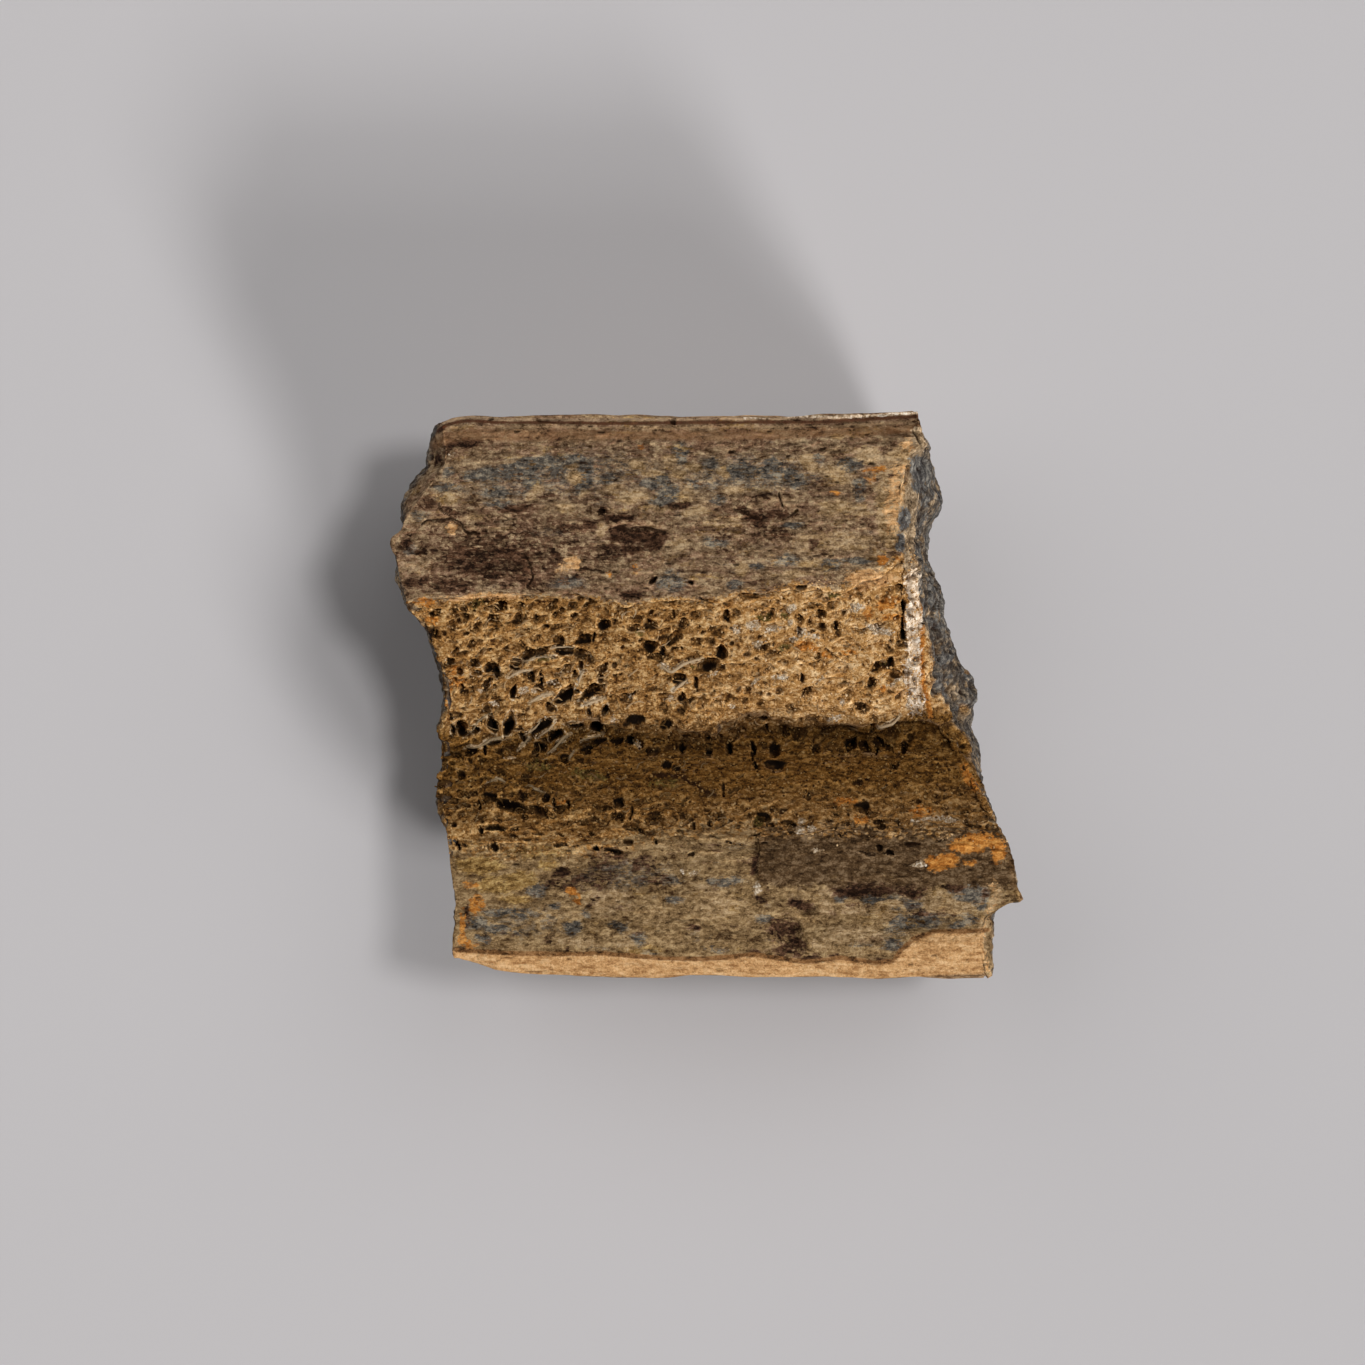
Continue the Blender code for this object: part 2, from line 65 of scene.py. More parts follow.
# Rows of the marrow side, from the lower long edge to the upper one: place across the grain, then the
# height at the left end, in the middle and at the right end. The ends are this far from the middle.
STATION_REACH = 27.0
MARROW_SIDE = (
    (-28.3, 20.4, 21.2, 21.4),
    (-26.0, 22.0, 23.0, 23.2),
    (-22.3, 21.6, 22.9, 22.9),
    (-17.3, 20.6, 22.4, 22.4),
    (-14.3, 19.9, 21.9, 22.0),
    (-12.3, 19.2, 21.2, 21.2),
    (-10.8, 18.5, 20.2, 20.2),
    (-9.3, 17.8, 18.7, 18.7),
    (-7.8, 17.0, 16.7, 17.0),
    (-6.3, 16.4, 14.5, 15.2),
    (-4.8, 16.1, 12.5, 14.0),
    (-3.6, 16.2, 12.6, 14.0),
    (-2.7, 16.7, 14.4, 15.2),
    (-2.0, 17.4, 15.9, 16.4),
    (-1.3, 17.9, 17.1, 17.4),
    (0.7, 18.9, 18.6, 18.8),
    (4.7, 20.7, 21.2, 21.2),
    (8.7, 23.0, 23.9, 23.8),
    (10.7, 24.2, 24.8, 24.7),
    (15.7, 24.8, 25.3, 25.2),
    (21.7, 24.7, 25.4, 25.2),
    (26.7, 24.4, 25.0, 24.8),
    (28.5, 23.9, 24.3, 24.2),
)

# Long edges: place along the grain, then place across it.
UPPER_EDGE = ((-27.0, 27.1), (-25.5, 27.8), (-20.0, 27.9), (0.0, 27.9), (10.0, 28.1), (21.3, 28.5))
LOWER_EDGE = (
    (-24.9, -25.9), (-24.2, -26.4), (-22.9, -26.8), (-20.0, -27.6), (-14.5, -27.9), (0.0, -28.1),
    (28.5, -28.3),
)

# Snapped ends: place across the grain, then place along it.
LEFT_OUTLINE = (
    (-26.0, -24.8), (-22.8, -24.9), (-19.8, -25.3), (-16.8, -25.8), (-13.8, -26.2), (-10.8, -26.7),
    (-4.3, -26.7), (-0.2, -26.4), (2.7, -26.7), (5.1, -27.5), (7.0, -28.2), (8.7, -29.7), (11.1, -30.5),
    (12.7, -30.8), (14.7, -31.0), (15.9, -30.9), (17.2, -30.2), (19.6, -29.9), (21.2, -29.2), (22.2, -28.6),
    (23.2, -27.8), (25.5, -27.3), (27.2, -26.5),
)
LEFT_FRINGE = ((17.5, 0.0), (19.6, 1.2), (21.5, 1.7), (25.0, 1.5), (26.6, 0.6), (27.3, 0.1))
RIGHT_RIM = (
    (-28.3, 28.4), (-26.5, 28.0), (-24.8, 27.7), (-23.8, 27.8), (-22.3, 28.3), (-21.2, 29.8), (-20.5, 31.3),
    (-18.8, 31.1), (-16.8, 30.7), (-13.8, 29.8), (-12.3, 29.3), (-10.8, 28.3), (-8.8, 27.3), (-6.1, 26.0),
    (-4.1, 25.2), (-2.3, 24.0), (-0.5, 22.6), (0.7, 21.3), (4.7, 20.5), (8.7, 20.2), (12.7, 20.1),
    (14.7, 19.5), (15.9, 18.8), (17.7, 19.3), (19.7, 19.6), (24.0, 20.1), (25.2, 21.6), (26.5, 21.2),
    (28.5, 21.2),
)
RIGHT_FOOT = (
    (-28.3, 28.5), (-24.0, 29.0), (-21.6, 29.5), (-20.4, 29.8), (-16.0, 28.9), (-10.0, 28.5), (-8.3, 28.6),
    (-5.8, 28.4), (-3.0, 28.1), (1.2, 27.9), (2.7, 27.7), (4.2, 26.8), (6.2, 25.7), (8.2, 24.8),
    (10.2, 24.2), (12.2, 23.7), (14.2, 23.3), (17.2, 23.4), (18.7, 24.1), (20.2, 24.1), (21.2, 23.7),
    (23.2, 23.3), (26.0, 22.6), (28.5, 21.0),
)
# How far an end has gone from its rim to its foot line, by the depth below the marrow side.
RIGHT_SLOPE = ((0.0, 0.0), (1.4, 0.3), (5.0, 0.5), (9.0, 0.85), (12.5, 1.0), (18.0, 0.86), (26.0, 0.4))
LEFT_SLOPE = ((0.0, 0.0), (2.2, 0.85), (3.6, 1.0), (26.0, 1.0))
LEFT_UNDERCUT = ((0.0, 0.0), (7.0, 0.1), (14.0, 0.9), (20.0, 1.9), (26.0, 2.8))

# Ledge where the dense wall gives way to the spongy slope: place along the grain, then across it.
SPONGY_EDGE = (
    (-31.0, 9.2), (-26.0, 9.7), (-22.0, 10.2), (-18.0, 10.0), (-11.5, 9.9), (-8.0, 9.2), (-3.0, 9.9),
    (0.0, 9.4), (3.0, 10.1), (6.0, 9.8), (9.0, 10.6), (13.0, 10.2), (17.0, 11.5), (20.0, 13.8),
)
# How far the spongy bone lies below the dense wall, and where it ends across the grain beyond the trough.
SPONGY_DROP = 0.55
SPONGY_LOWER_EDGE = -13.4
# Waves of that ledge: length, width, how far they reach.
SPONGY_EDGE_WAVE = (1.6, 9.0, 0.5)
# The ridged porous band beyond the trough starts and ends over these stretches, counted from the middle.
RIDGED_START = (7.6, 9.6)
RIDGED_END = (14.0, 16.5)

# Broad hollows (positive depth) and swells (negative depth) of the marrow side:
# along, across, length, width, turn in degrees, depth.
HOLLOWS = (
    (-6.8, 15.9, 6.6, 2.8, 0, 0.50),
    (7.4, 18.6, 7.5, 2.2, 8, 0.35),
    (-24.0, 15.5, 12.0, 6.0, -5, 0.45),
    (-9.8, -16.3, 9.6, 4.4, 3, 0.55),
    (8.6, -24.2, 3.0, 5.6, 12, 0.75),
    (10.3, -21.3, 2.6, 1.6, 0, 0.45),
    (16.5, -19.4, 7.0, 2.2, 4, 0.45),
    (22.5, -22.6, 7.5, 2.0, 5, 0.50),
    (-14.0, 23.0, 16.0, 4.0, 0, -0.25),
    (25.0, -14.5, 8.0, 4.0, 12, -0.40),
    (-17.0, -21.0, 9.0, 5.0, 0, -0.25),
    (1.0, -18.5, 7.0, 5.0, 0, -0.35),
    (-4.5, -4.3, 18.0, 2.8, 2, -1.10),
)
# The dark outer sheet left standing over the lower wall: its corner and its height.
SHEET_LEFT = 4.9
SHEET_LOWER = -19.8
SHEET_UPPER = -13.0
SHEET_HEIGHT = 0.4

# The marrow pores: along, across, length, width, turn in degrees.
SLOPE_PORES = (
    (-26.9, 8.4, 0.8, 0.35, 0), (-25.2, 8.3, 0.8, 0.4, 0), (-24.1, 8.5, 0.6, 0.4, 80),
    (-25.6, 7.0, 0.7, 0.3, 0), (-27.6, 6.4, 0.5, 0.8, 0), (-22.9, 7.0, 0.9, 0.35, 30),
    (-21.3, 7.9, 1.1, 0.45, 8), (-20.5, 9.1, 1.4, 0.6, 8), (-21.9, 9.6, 0.7, 0.4, 30),
    (-20.8, 7.1, 0.6, 0.25, 20), (-18.9, 7.8, 1.1, 0.5, 12), (-18.6, 9.1, 0.9, 0.4, -10),
    (-17.0, 8.0, 0.6, 0.35, 70), (-15.5, 8.9, 0.6, 0.3, 0), (-14.4, 8.5, 0.45, 0.4, 0),
    (-13.3, 9.1, 0.7, 0.3, -10), (-13.2, 8.0, 0.7, 0.45, 0), (-15.0, 7.0, 1.3, 0.4, 15),
    (-11.3, 9.2, 0.8, 0.3, 10), (-17.0, 5.7, 1.0, 0.3, 0), (-12.5, 6.2, 0.4, 0.3, 0),
    (-12.2, 5.6, 1.4, 0.8, 0), (-11.3, 5.8, 0.35, 0.7, 0), (-14.8, 5.5, 1.1, 0.5, 5),
    (-18.2, 4.9, 1.1, 0.4, -30), (-23.6, 5.1, 0.8, 0.4, 5), (-25.1, 4.6, 0.9, 0.3, 5),
    (-10.2, 7.1, 1.3, 0.85, 0), (-9.2, 7.3, 0.4, 0.3, 0), (-7.2, 6.8, 1.4, 0.5, 0),
    (-6.8, 8.1, 0.9, 0.25, 0), (-6.8, 7.7, 0.5, 0.2, 0), (-5.5, 7.2, 1.5, 0.6, -12),
    (-5.3, 8.4, 0.5, 0.4, 0), (-3.2, 8.2, 0.5, 0.35, 80), (-2.3, 7.2, 0.7, 0.4, 30),
    (-4.2, 6.1, 1.5, 0.4, 15), (-3.1, 5.6, 1.8, 0.6, 35), (-8.1, 5.6, 0.7, 0.35, -35),
    (-10.2, 6.0, 0.8, 0.25, 0), (-5.5, 4.9, 1.2, 0.7, 5), (-4.2, 4.4, 0.6, 0.9, 10),
    (-5.0, 3.9, 1.6, 0.5, -15), (-7.2, 9.8, 1.1, 0.4, 0), (-0.2, 9.8, 1.1, 0.35, 0),
    (4.3, 10.1, 1.9, 0.5, 0), (-1.0, 8.3, 0.5, 0.3, 0), (2.2, 7.9, 0.5, 1.0, 0), (3.2, 8.2, 0.9, 0.35, 0),
    (0.6, 6.9, 0.4, 0.3, 0), (1.2, 6.4, 0.5, 0.25, 0), (-0.8, 5.6, 1.5, 0.25, -5), (0.6, 5.6, 0.9, 0.3, 20),
    (6.7, 8.3, 0.5, 0.6, 0), (9.4, 6.5, 0.5, 0.5, 0), (11.7, 7.0, 0.7, 0.5, 25), (11.5, 8.4, 0.6, 0.4, 0),
    (12.6, 9.0, 0.8, 0.45, 0), (11.3, 10.4, 0.7, 0.3, -20), (9.6, 10.9, 1.2, 0.5, 5),
    (10.8, 9.1, 1.4, 0.2, 8), (9.5, 7.8, 0.3, 0.5, 0), (10.6, 7.4, 0.35, 0.4, 0), (13.1, 7.0, 0.3, 0.5, 0),
    (13.2, 6.3, 0.35, 0.5, 0), (15.7, 6.7, 1.4, 0.15, 0), (19.6, 10.9, 0.9, 0.3, 0),
    (19.9, 9.0, 0.3, 1.6, 0), (19.9, 6.6, 0.35, 1.6, 0), (19.8, 5.2, 0.8, 0.35, 0),
    (18.6, 4.8, 0.9, 0.3, -12), (-17.7, 4.1, 2.1, 0.55, 8), (-16.4, 4.4, 1.3, 0.6, 12),
    (-14.2, 4.6, 1.8, 0.75, 5), (-12.6, 4.3, 1.6, 0.6, -10), (-19.1, 3.0, 1.2, 0.7, 20),
    (-25.7, 3.6, 0.8, 0.6, 0), (-23.4, 3.2, 1.0, 0.4, 0), (-24.8, 2.6, 0.8, 0.5, -30),
    (-23.2, 2.2, 0.8, 0.4, -10), (-21.7, 2.7, 1.4, 0.9, 5), (-21.2, 2.2, 0.5, 0.6, 0),
    (-22.3, 1.0, 0.8, 0.45, 15), (-24.5, 0.6, 0.4, 0.6, 0), (-21.2, 0.9, 0.4, 0.35, 0),
    (-19.3, 0.4, 0.6, 1.1, -15), (-18.0, 2.2, 1.5, 0.35, 5), (-17.6, 1.9, 0.45, 0.7, 0),
    (-16.6, 1.6, 0.5, 1.0, 0), (-17.0, 1.0, 0.9, 0.35, 10), (-15.3, 1.2, 1.0, 0.35, -10),
    (-14.8, 2.1, 0.6, 0.4, 0), (-13.9, 2.8, 1.0, 0.4, 35), (-13.2, 2.2, 0.8, 0.5, 20),
    (-12.4, 2.9, 0.5, 0.5, 0), (-10.3, 2.8, 0.8, 0.5, 0), (-10.5, 1.8, 0.6, 0.6, 0),
    (-11.6, 3.6, 0.7, 0.4, 60), (-14.2, 0.1, 2.2, 0.9, 33), (-13.0, 0.5, 0.9, 0.4, 0),
    (-11.4, 0.3, 2.3, 0.8, 25), (-12.8, -0.6, 0.8, 0.35, 20), (-15.6, -1.1, 0.9, 0.5, 0),
    (-21.2, -0.2, 0.8, 0.4, 10), (-22.2, -1.2, 1.0, 0.5, -50), (-25.0, -1.9, 1.2, 0.3, -10),
    (-25.8, -2.0, 0.4, 0.7, 0), (1.7, 4.4, 1.25, 0.95, 0), (0.4, 3.1, 1.7, 1.2, 25),
    (-0.6, 2.8, 0.8, 0.5, 0), (-2.6, 1.8, 1.4, 0.7, 22), (-0.8, 1.3, 0.5, 0.9, 20),
    (-5.6, 0.9, 0.9, 0.25, 10), (-2.3, -0.3, 0.6, 0.9, 30), (-1.9, -0.7, 0.5, 0.4, 0),
    (-2.6, -1.3, 0.8, 0.5, 0), (-4.0, -1.4, 0.5, 0.35, 0), (-4.4, -0.8, 0.6, 0.25, 0),
    (-8.0, -0.3, 1.2, 0.55, 10), (-9.4, -0.6, 0.8, 0.3, 10), (-7.0, -2.3, 1.8, 1.15, 0),
    (-7.9, -2.7, 0.7, 0.6, 0), (-3.9, -2.8, 1.4, 0.95, 15), (-10.2, -1.3, 0.6, 0.9, -20),
    (-11.9, -1.6, 0.5, 0.8, 10), (-10.8, -2.1, 0.6, 0.6, 0), (1.6, 2.8, 1.0, 0.2, 15),
    (2.6, -0.2, 0.7, 0.15, 15), (5.8, -0.7, 0.5, 0.25, 0), (4.5, -2.0, 0.4, 0.4, 0),
    (0.2, -2.6, 1.0, 0.25, 35), (5.6, 4.8, 1.2, 0.15, 0), (7.0, 4.5, 1.3, 0.15, -12),
    (10.3, 0.5, 1.1, 0.4, 25), (8.7, -1.0, 0.5, 0.45, 0), (9.7, 1.7, 0.3, 0.9, 0),
    (11.4, 3.9, 0.5, 0.45, 30), (12.7, 4.4, 0.9, 0.25, -25), (18.7, 3.3, 1.0, 0.6, 0),
    (17.3, 2.9, 0.8, 0.6, 35), (18.0, 3.1, 0.9, 0.4, 10), (19.3, 2.1, 0.9, 0.5, 0),
    (16.8, 1.4, 0.8, 0.8, 0), (16.0, -1.3, 1.4, 0.5, -10), (17.3, -2.2, 0.8, 0.4, -45),
    (11.0, -2.0, 1.3, 0.25, -8), (9.7, -2.5, 0.3, 0.3, 0),
)
TROUGH_PORES = (
    (-21.6, -2.8, 0.8, 1.7, 8), (-19.9, -2.9, 1.0, 2.3, -18), (-16.6, -3.0, 2.8, 0.8, 38),
    (-19.0, -3.3, 1.0, 0.5, -10), (-24.7, -3.5, 0.8, 1.1, 0), (-23.4, -3.5, 1.0, 0.5, 20),
    (-25.6, -3.4, 0.4, 1.2, 0), (-18.4, -4.3, 0.8, 0.4, -25), (-21.4, -4.6, 1.2, 0.4, 10),
    (-22.4, -5.2, 0.4, 1.0, 0), (-20.9, -5.5, 0.8, 0.5, 0), (-23.8, -5.6, 1.3, 0.6, 12),
    (-24.9, -5.9, 0.9, 0.4, -20), (-23.9, -6.5, 0.7, 0.3, -40), (-24.7, -7.8, 0.7, 0.5, 0),
    (-20.6, -7.5, 1.0, 0.5, -15), (-19.2, -6.6, 0.8, 0.3, 10), (-18.4, -8.2, 0.9, 0.5, -40),
    (-17.3, -5.6, 1.0, 0.5, 30), (-16.7, -5.0, 1.0, 0.7, -20), (-15.2, -3.9, 1.5, 0.9, 35),
    (-14.4, -6.0, 1.2, 0.8, 0), (-13.2, -3.0, 1.6, 0.6, -10), (-12.0, -5.3, 1.3, 0.8, 10),
    (-11.0, -3.2, 1.3, 0.9, 0), (-12.6, -6.4, 0.8, 0.4, 0), (-17.2, -6.3, 0.8, 0.4, 30),
    (-10.6, -4.6, 1.4, 0.6, 15), (-9.0, -4.5, 1.5, 0.6, 10), (-7.6, -4.4, 0.9, 0.8, -20),
    (-6.6, -5.0, 0.6, 0.3, -30), (-5.4, -5.5, 1.3, 0.9, -15), (-4.0, -6.8, 1.1, 0.9, 0),
    (-3.0, -7.3, 1.0, 0.6, -20), (-2.3, -5.2, 1.0, 0.7, 0), (-6.7, -6.3, 0.7, 0.3, 0),
    (-6.0, -7.5, 0.7, 0.4, 0), (-1.8, -3.8, 0.6, 0.3, 0), (-1.0, -3.6, 1.0, 0.2, -20),
    (0.8, -3.3, 0.9, 0.35, 28), (0.4, -4.2, 0.5, 0.6, 0), (1.8, -4.2, 0.4, 0.45, 0),
    (0.5, -5.6, 0.6, 1.0, 0), (2.7, -5.3, 0.7, 1.2, 0), (5.0, -5.4, 0.4, 1.7, 8), (5.3, -6.9, 0.5, 1.0, 20),
    (7.2, -5.3, 1.3, 1.2, 0), (7.2, -6.9, 1.9, 0.9, 0), (6.5, -3.3, 0.3, 0.3, 0), (8.6, -3.7, 1.4, 0.3, 0),
    (1.9, -9.0, 0.4, 0.8, 0), (2.9, -9.5, 1.0, 0.35, 35), (15.1, -3.1, 0.9, 0.4, 0),
    (11.4, -5.2, 0.9, 0.6, 0), (13.2, -5.2, 2.2, 0.35, 0), (14.9, -4.7, 1.3, 0.8, 35),
    (16.3, -4.9, 1.3, 0.6, -20), (15.2, -5.6, 1.0, 0.4, 0), (17.0, -3.4, 0.4, 1.1, -10),
    (17.8, -4.7, 0.9, 0.5, 0), (17.5, -5.4, 0.4, 1.0, 0), (18.7, -5.0, 1.1, 0.5, -25),
    (20.5, -5.0, 0.8, 0.9, 0), (19.3, -7.0, 0.8, 0.5, 0), (19.9, -6.7, 0.3, 0.6, -20),
    (14.4, -6.6, 1.2, 0.2, 0), (15.7, -6.6, 0.6, 0.25, 50), (15.4, -8.6, 1.0, 0.5, 15),
    (12.2, -3.3, 0.4, 0.4, 0), (9.3, -7.5, 0.8, 0.2, 0), (11.2, -6.8, 0.5, 0.25, 0),
    (12.6, -9.1, 0.7, 0.25, 20), (19.3, -8.7, 0.35, 0.35, 0), (10.5, -10.0, 0.3, 0.8, -25),
    (23.4, -10.2, 0.5, 0.2, 0), (24.1, -9.4, 0.9, 0.25, 15), (25.5, -9.3, 0.9, 0.4, -20),
    (26.5, -9.2, 0.9, 0.35, -25),
)
RIDGE_PORES = (
    (-21.1, -13.3, 2.1, 0.6, 0), (-22.5, -13.4, 0.5, 0.6, 0), (-25.5, -12.9, 0.8, 0.5, -20),
    (-22.6, -12.5, 0.5, 0.4, 0), (-20.9, -12.5, 0.6, 0.3, 0), (-19.1, -13.4, 1.1, 0.4, 20),
    (-19.3, -14.1, 0.8, 0.4, 10), (-18.0, -14.4, 0.8, 0.3, -10), (-21.3, -15.1, 0.7, 0.6, 0),
    (-25.0, -14.6, 0.4, 0.8, 20), (-24.7, -15.2, 0.3, 0.6, 0), (-24.1, -14.8, 0.6, 0.3, 0),
    (-14.6, -14.9, 1.4, 0.4, 0), (-13.1, -14.9, 0.9, 0.25, 0), (-11.0, -15.1, 0.8, 0.6, 0),
    (-9.2, -15.4, 1.7, 0.6, -5), (-25.3, -10.4, 0.9, 0.4, 0), (-22.9, -10.7, 0.4, 0.7, 0),
    (-24.3, -10.9, 0.8, 0.4, 0), (-24.3, -9.8, 1.0, 0.4, 0), (-23.4, -9.8, 0.6, 0.3, 0),
    (-21.7, -10.0, 1.4, 0.8, -30), (-19.6, -10.9, 3.0, 1.0, -15), (-17.2, -11.3, 2.8, 0.55, 0),
    (-16.4, -11.7, 1.0, 0.5, 0), (-18.3, -10.1, 0.8, 0.6, 30), (-16.1, -10.1, 0.6, 0.8, -20),
    (-14.7, -11.2, 1.2, 0.6, -10), (-15.3, -10.4, 0.5, 0.7, 0), (-13.8, -10.7, 0.4, 1.0, 0),
    (-11.3, -12.3, 1.5, 0.4, 0), (-12.4, -12.7, 1.2, 0.5, 10), (-14.7, -13.8, 0.8, 0.3, 0),
    (-16.9, -13.8, 1.0, 0.4, 0), (-11.4, -13.6, 0.8, 0.35, 20), (-10.2, -11.0, 2.2, 0.3, 0),
    (-11.6, -10.6, 0.6, 0.3, 0), (-8.6, -10.6, 1.1, 0.8, 0), (-8.7, -11.9, 1.5, 0.6, 0),
    (-7.5, -11.6, 0.3, 1.2, 0), (-6.6, -10.6, 0.6, 0.4, 0), (-7.0, -12.8, 0.7, 0.4, 0),
    (-5.0, -12.3, 2.1, 0.55, 3), (-7.0, -13.4, 2.2, 0.4, 0), (-5.0, -11.6, 1.2, 0.25, 0),
    (-3.6, -11.2, 0.9, 0.3, 0), (-2.2, -11.8, 1.1, 0.5, 0), (-3.2, -12.0, 0.8, 0.3, 0),
    (-1.0, -12.8, 0.5, 0.5, 0), (-4.9, -11.0, 0.5, 0.2, 0), (0.4, -11.5, 1.0, 0.25, 0),
    (1.7, -11.6, 0.9, 0.35, 0), (1.2, -12.1, 2.0, 0.2, 0), (0.6, -12.6, 0.4, 0.5, 0),
    (3.4, -13.1, 0.7, 0.25, 0), (4.4, -11.8, 0.8, 0.35, 0), (5.8, -12.0, 1.5, 0.8, 0),
    (5.2, -13.9, 1.2, 0.25, 5), (7.4, -11.3, 1.6, 0.35, -12), (6.7, -12.7, 0.6, 0.25, 0),
    (8.4, -12.6, 1.5, 0.45, 0), (8.6, -13.6, 0.7, 0.3, 20), (0.9, -14.1, 1.2, 0.2, -5),
    (2.3, -14.6, 0.8, 0.2, 0), (-1.4, -15.6, 0.7, 0.3, 20), (-4.8, -14.5, 0.4, 0.4, 0),
    (-2.6, -13.6, 0.6, 0.2, 0), (-7.8, -14.6, 1.1, 0.3, 0), (12.8, -11.0, 1.3, 0.3, 0),
    (13.3, -11.6, 0.6, 0.2, 0), (14.4, -11.7, 0.3, 0.3, 0), (15.9, -10.9, 1.3, 0.7, 0),
    (16.8, -11.7, 1.2, 0.4, 0), (17.6, -12.6, 1.2, 0.4, 0), (17.8, -13.2, 0.8, 0.4, 0),
    (19.6, -12.5, 0.4, 0.4, 0), (14.5, -12.7, 0.5, 0.3, 0), (12.6, -12.4, 0.8, 0.2, 0),
    (13.0, -13.2, 0.6, 0.4, 0), (13.6, -14.1, 0.3, 0.4, 0), (20.8, -15.0, 1.6, 0.25, 2),
    (23.8, -14.7, 0.9, 0.2, 0), (27.0, -12.9, 1.7, 0.4, 0), (26.2, -11.3, 1.7, 0.4, 12),
    (24.4, -11.5, 0.9, 0.3, 20), (26.3, -12.2, 0.5, 0.3, 0), (19.9, -11.2, 1.4, 0.3, 0),
    (18.5, -15.6, 0.8, 0.5, -40), (17.4, -15.2, 0.8, 0.3, -30), (16.4, -15.7, 1.6, 0.2, 0),
    (-3.1, 27.5, 0.5, 0.4, 0), (-1.5, 11.3, 0.6, 0.5, 0), (-5.2, 11.8, 1.0, 0.4, 40),
    (-10.3, 18.5, 0.7, 0.4, 45),
)
PORES = SLOPE_PORES + TROUGH_PORES + RIDGE_PORES
# Pores that olive dirt has filled.
FILLED_PORES = (
    (6.0, 8.0, 1.7, 1.0, 0), (8.0, 5.1, 1.8, 1.0, 0), (8.1, 8.1, 1.1, 0.8, 0), (-16.2, 3.7, 2.1, 0.5, 12),
    (-6.5, 6.5, 1.0, 0.5, 0), (-1.2, 3.0, 0.9, 0.4, 0), (13.0, 10.4, 1.6, 0.6, 0),
    (-21.2, -13.4, 1.4, 0.4, 0), (18.0, 3.3, 1.0, 0.6, 0), (5.3, -12.6, 1.2, 1.0, 0),
    (-22.8, 9.3, 2.2, 0.6, 15),
)
# A pore is this deep at most, and this many times its width where that is less.
PORE_DEPTH = 1.9
PORE_STEEPNESS = 1.9
# Its wall, the rim that stands up around it and its inside, which is painted dark as shade, as shares of the
# way from its middle to its outline: where each starts and ends, and for the rim also where its crest is.
PORE_WALL = (0.72, 1.22)
PORE_RIM = (1.05, 1.25, 1.7)
PORE_INSIDE = (0.88, 1.15)
# The bone sinks gently to a pore from this far outside its rim, and there its colour is darker and browner
# as painted shade.
FUNNEL_REACH = 0.42
FUNNEL_DEPTH = 0.22
# Share of its depth that a filled pore keeps.
FILLED_SHARE = 0.3
# The lip above the trough wanders: place along the grain, then how far it is pushed across it.
LIP_PATH = (
    (-31.0, 0.0), (-20.0, -0.2), (-13.0, 0.2), (-10.8, 0.5), (-7.5, 0.1), (-4.2, -0.1), (-2.2, -0.9),
    (0.2, -1.1), (2.5, -0.2), (5.8, 0.6), (9.2, 0.5), (12.5, -0.2), (15.8, -0.7), (17.5, -0.8), (19.2, 0.3),
    (21.0, 0.3), (31.0, 0.0),
)
# The lip's place across the grain, and how far from it the form is still pushed.
LIP_PLACE = -2.3
LIP_REACH = 4.5
# How far the lip's crumbling edge wanders beside that, for each size of its waves.
LIP_CRUMBS = ((2.4, 0.50), (1.0, 0.40))
# Lumps of the lip's face: size, height.
LIP_ROUGHNESS = (1.1, 0.40)
# Where the bright sand gives way to the trough's painted shade, darkened sand: place along the grain, then
# across it.
TROUGH_SHADE_EDGE = (
    (-27.0, -3.0), (-22.0, -3.5), (-16.0, -3.1), (-10.0, -2.6), (-5.0, -3.5), (-1.0, -4.1), (3.0, -3.8),
    (5.0, -2.8), (12.0, -2.4), (16.0, -2.3), (20.0, -1.9), (22.0, -1.0),
)
# A dark groove runs down the far side of the trough; along its line the colour is painted near-black as
# shade.
GROOVE = ((-5.0, -7.9), (-2.0, -8.3), (-0.5, -9.3), (1.0, -10.0))
GROOVE_WIDTH = 0.9
GROOVE_DEPTH = 0.8
GROOVE_SHADE_WIDTH = 0.5

# Roughness of the broken faces.
END_LUMP_SIZE = 5.2
END_LUMP_HEIGHT = 0.85
END_GRIT_SIZE = 1.7
END_GRIT_HEIGHT = 0.35
SIDE_LEDGE_THICKNESS = 1.9
SIDE_LEDGE_HEIGHT = 0.75
# Waves of those ledges: length, height, how far they shift the ledges, how far the side swells with them.
SIDE_WAVE = (13.0, 8.0, 1.6, 0.35)
# Coarse grain of the split sides: length, thickness, height.
SIDE_GRAIN = (6.0, 1.1, 0.25)
MARROW_LUMP_SIZE = (7.0, 3.6, 9.0)
MARROW_LUMP_HEIGHT = 0.35
RIDGE_LENGTH = 5.5
RIDGE_WIDTH = 0.95
RIDGE_HEIGHT = 0.50
# Low ridges of the spongy slope: length, width, turn in degrees, height.
SLOPE_RIDGES = (2.5, 0.75, 22, 0.42)
# Large cells of the spongy bone: size, how many times longer than wide, depth of the hollow in each.
SPONGY_RELIEF = (1.5, 1.9, 0.6)
# Cells of the spongy middle of the ends: size, depth. The dense wall gives way to them over the first
# stretch to each side of the middle, and over the second stretch of height.
END_CELL = (2.2, 0.8)
END_CORE_REACH = (13.0, 19.0)
END_CORE_FOOT = (5.0, 8.5)
# Swells of the underside: length, width and height of one, and how far they rise.
UNDERSIDE_SWELL_SIZE = (11.0, 5.0, 9.0)
UNDERSIDE_RELIEF = 0.3
# A face adds its relief to the points whose normals lean to it by more than this.
LEAST_SHARE = 0.002
NOISE_SEED = 11
LATTICE_PRIMES = np.array((73856093, 19349663, 83492791))

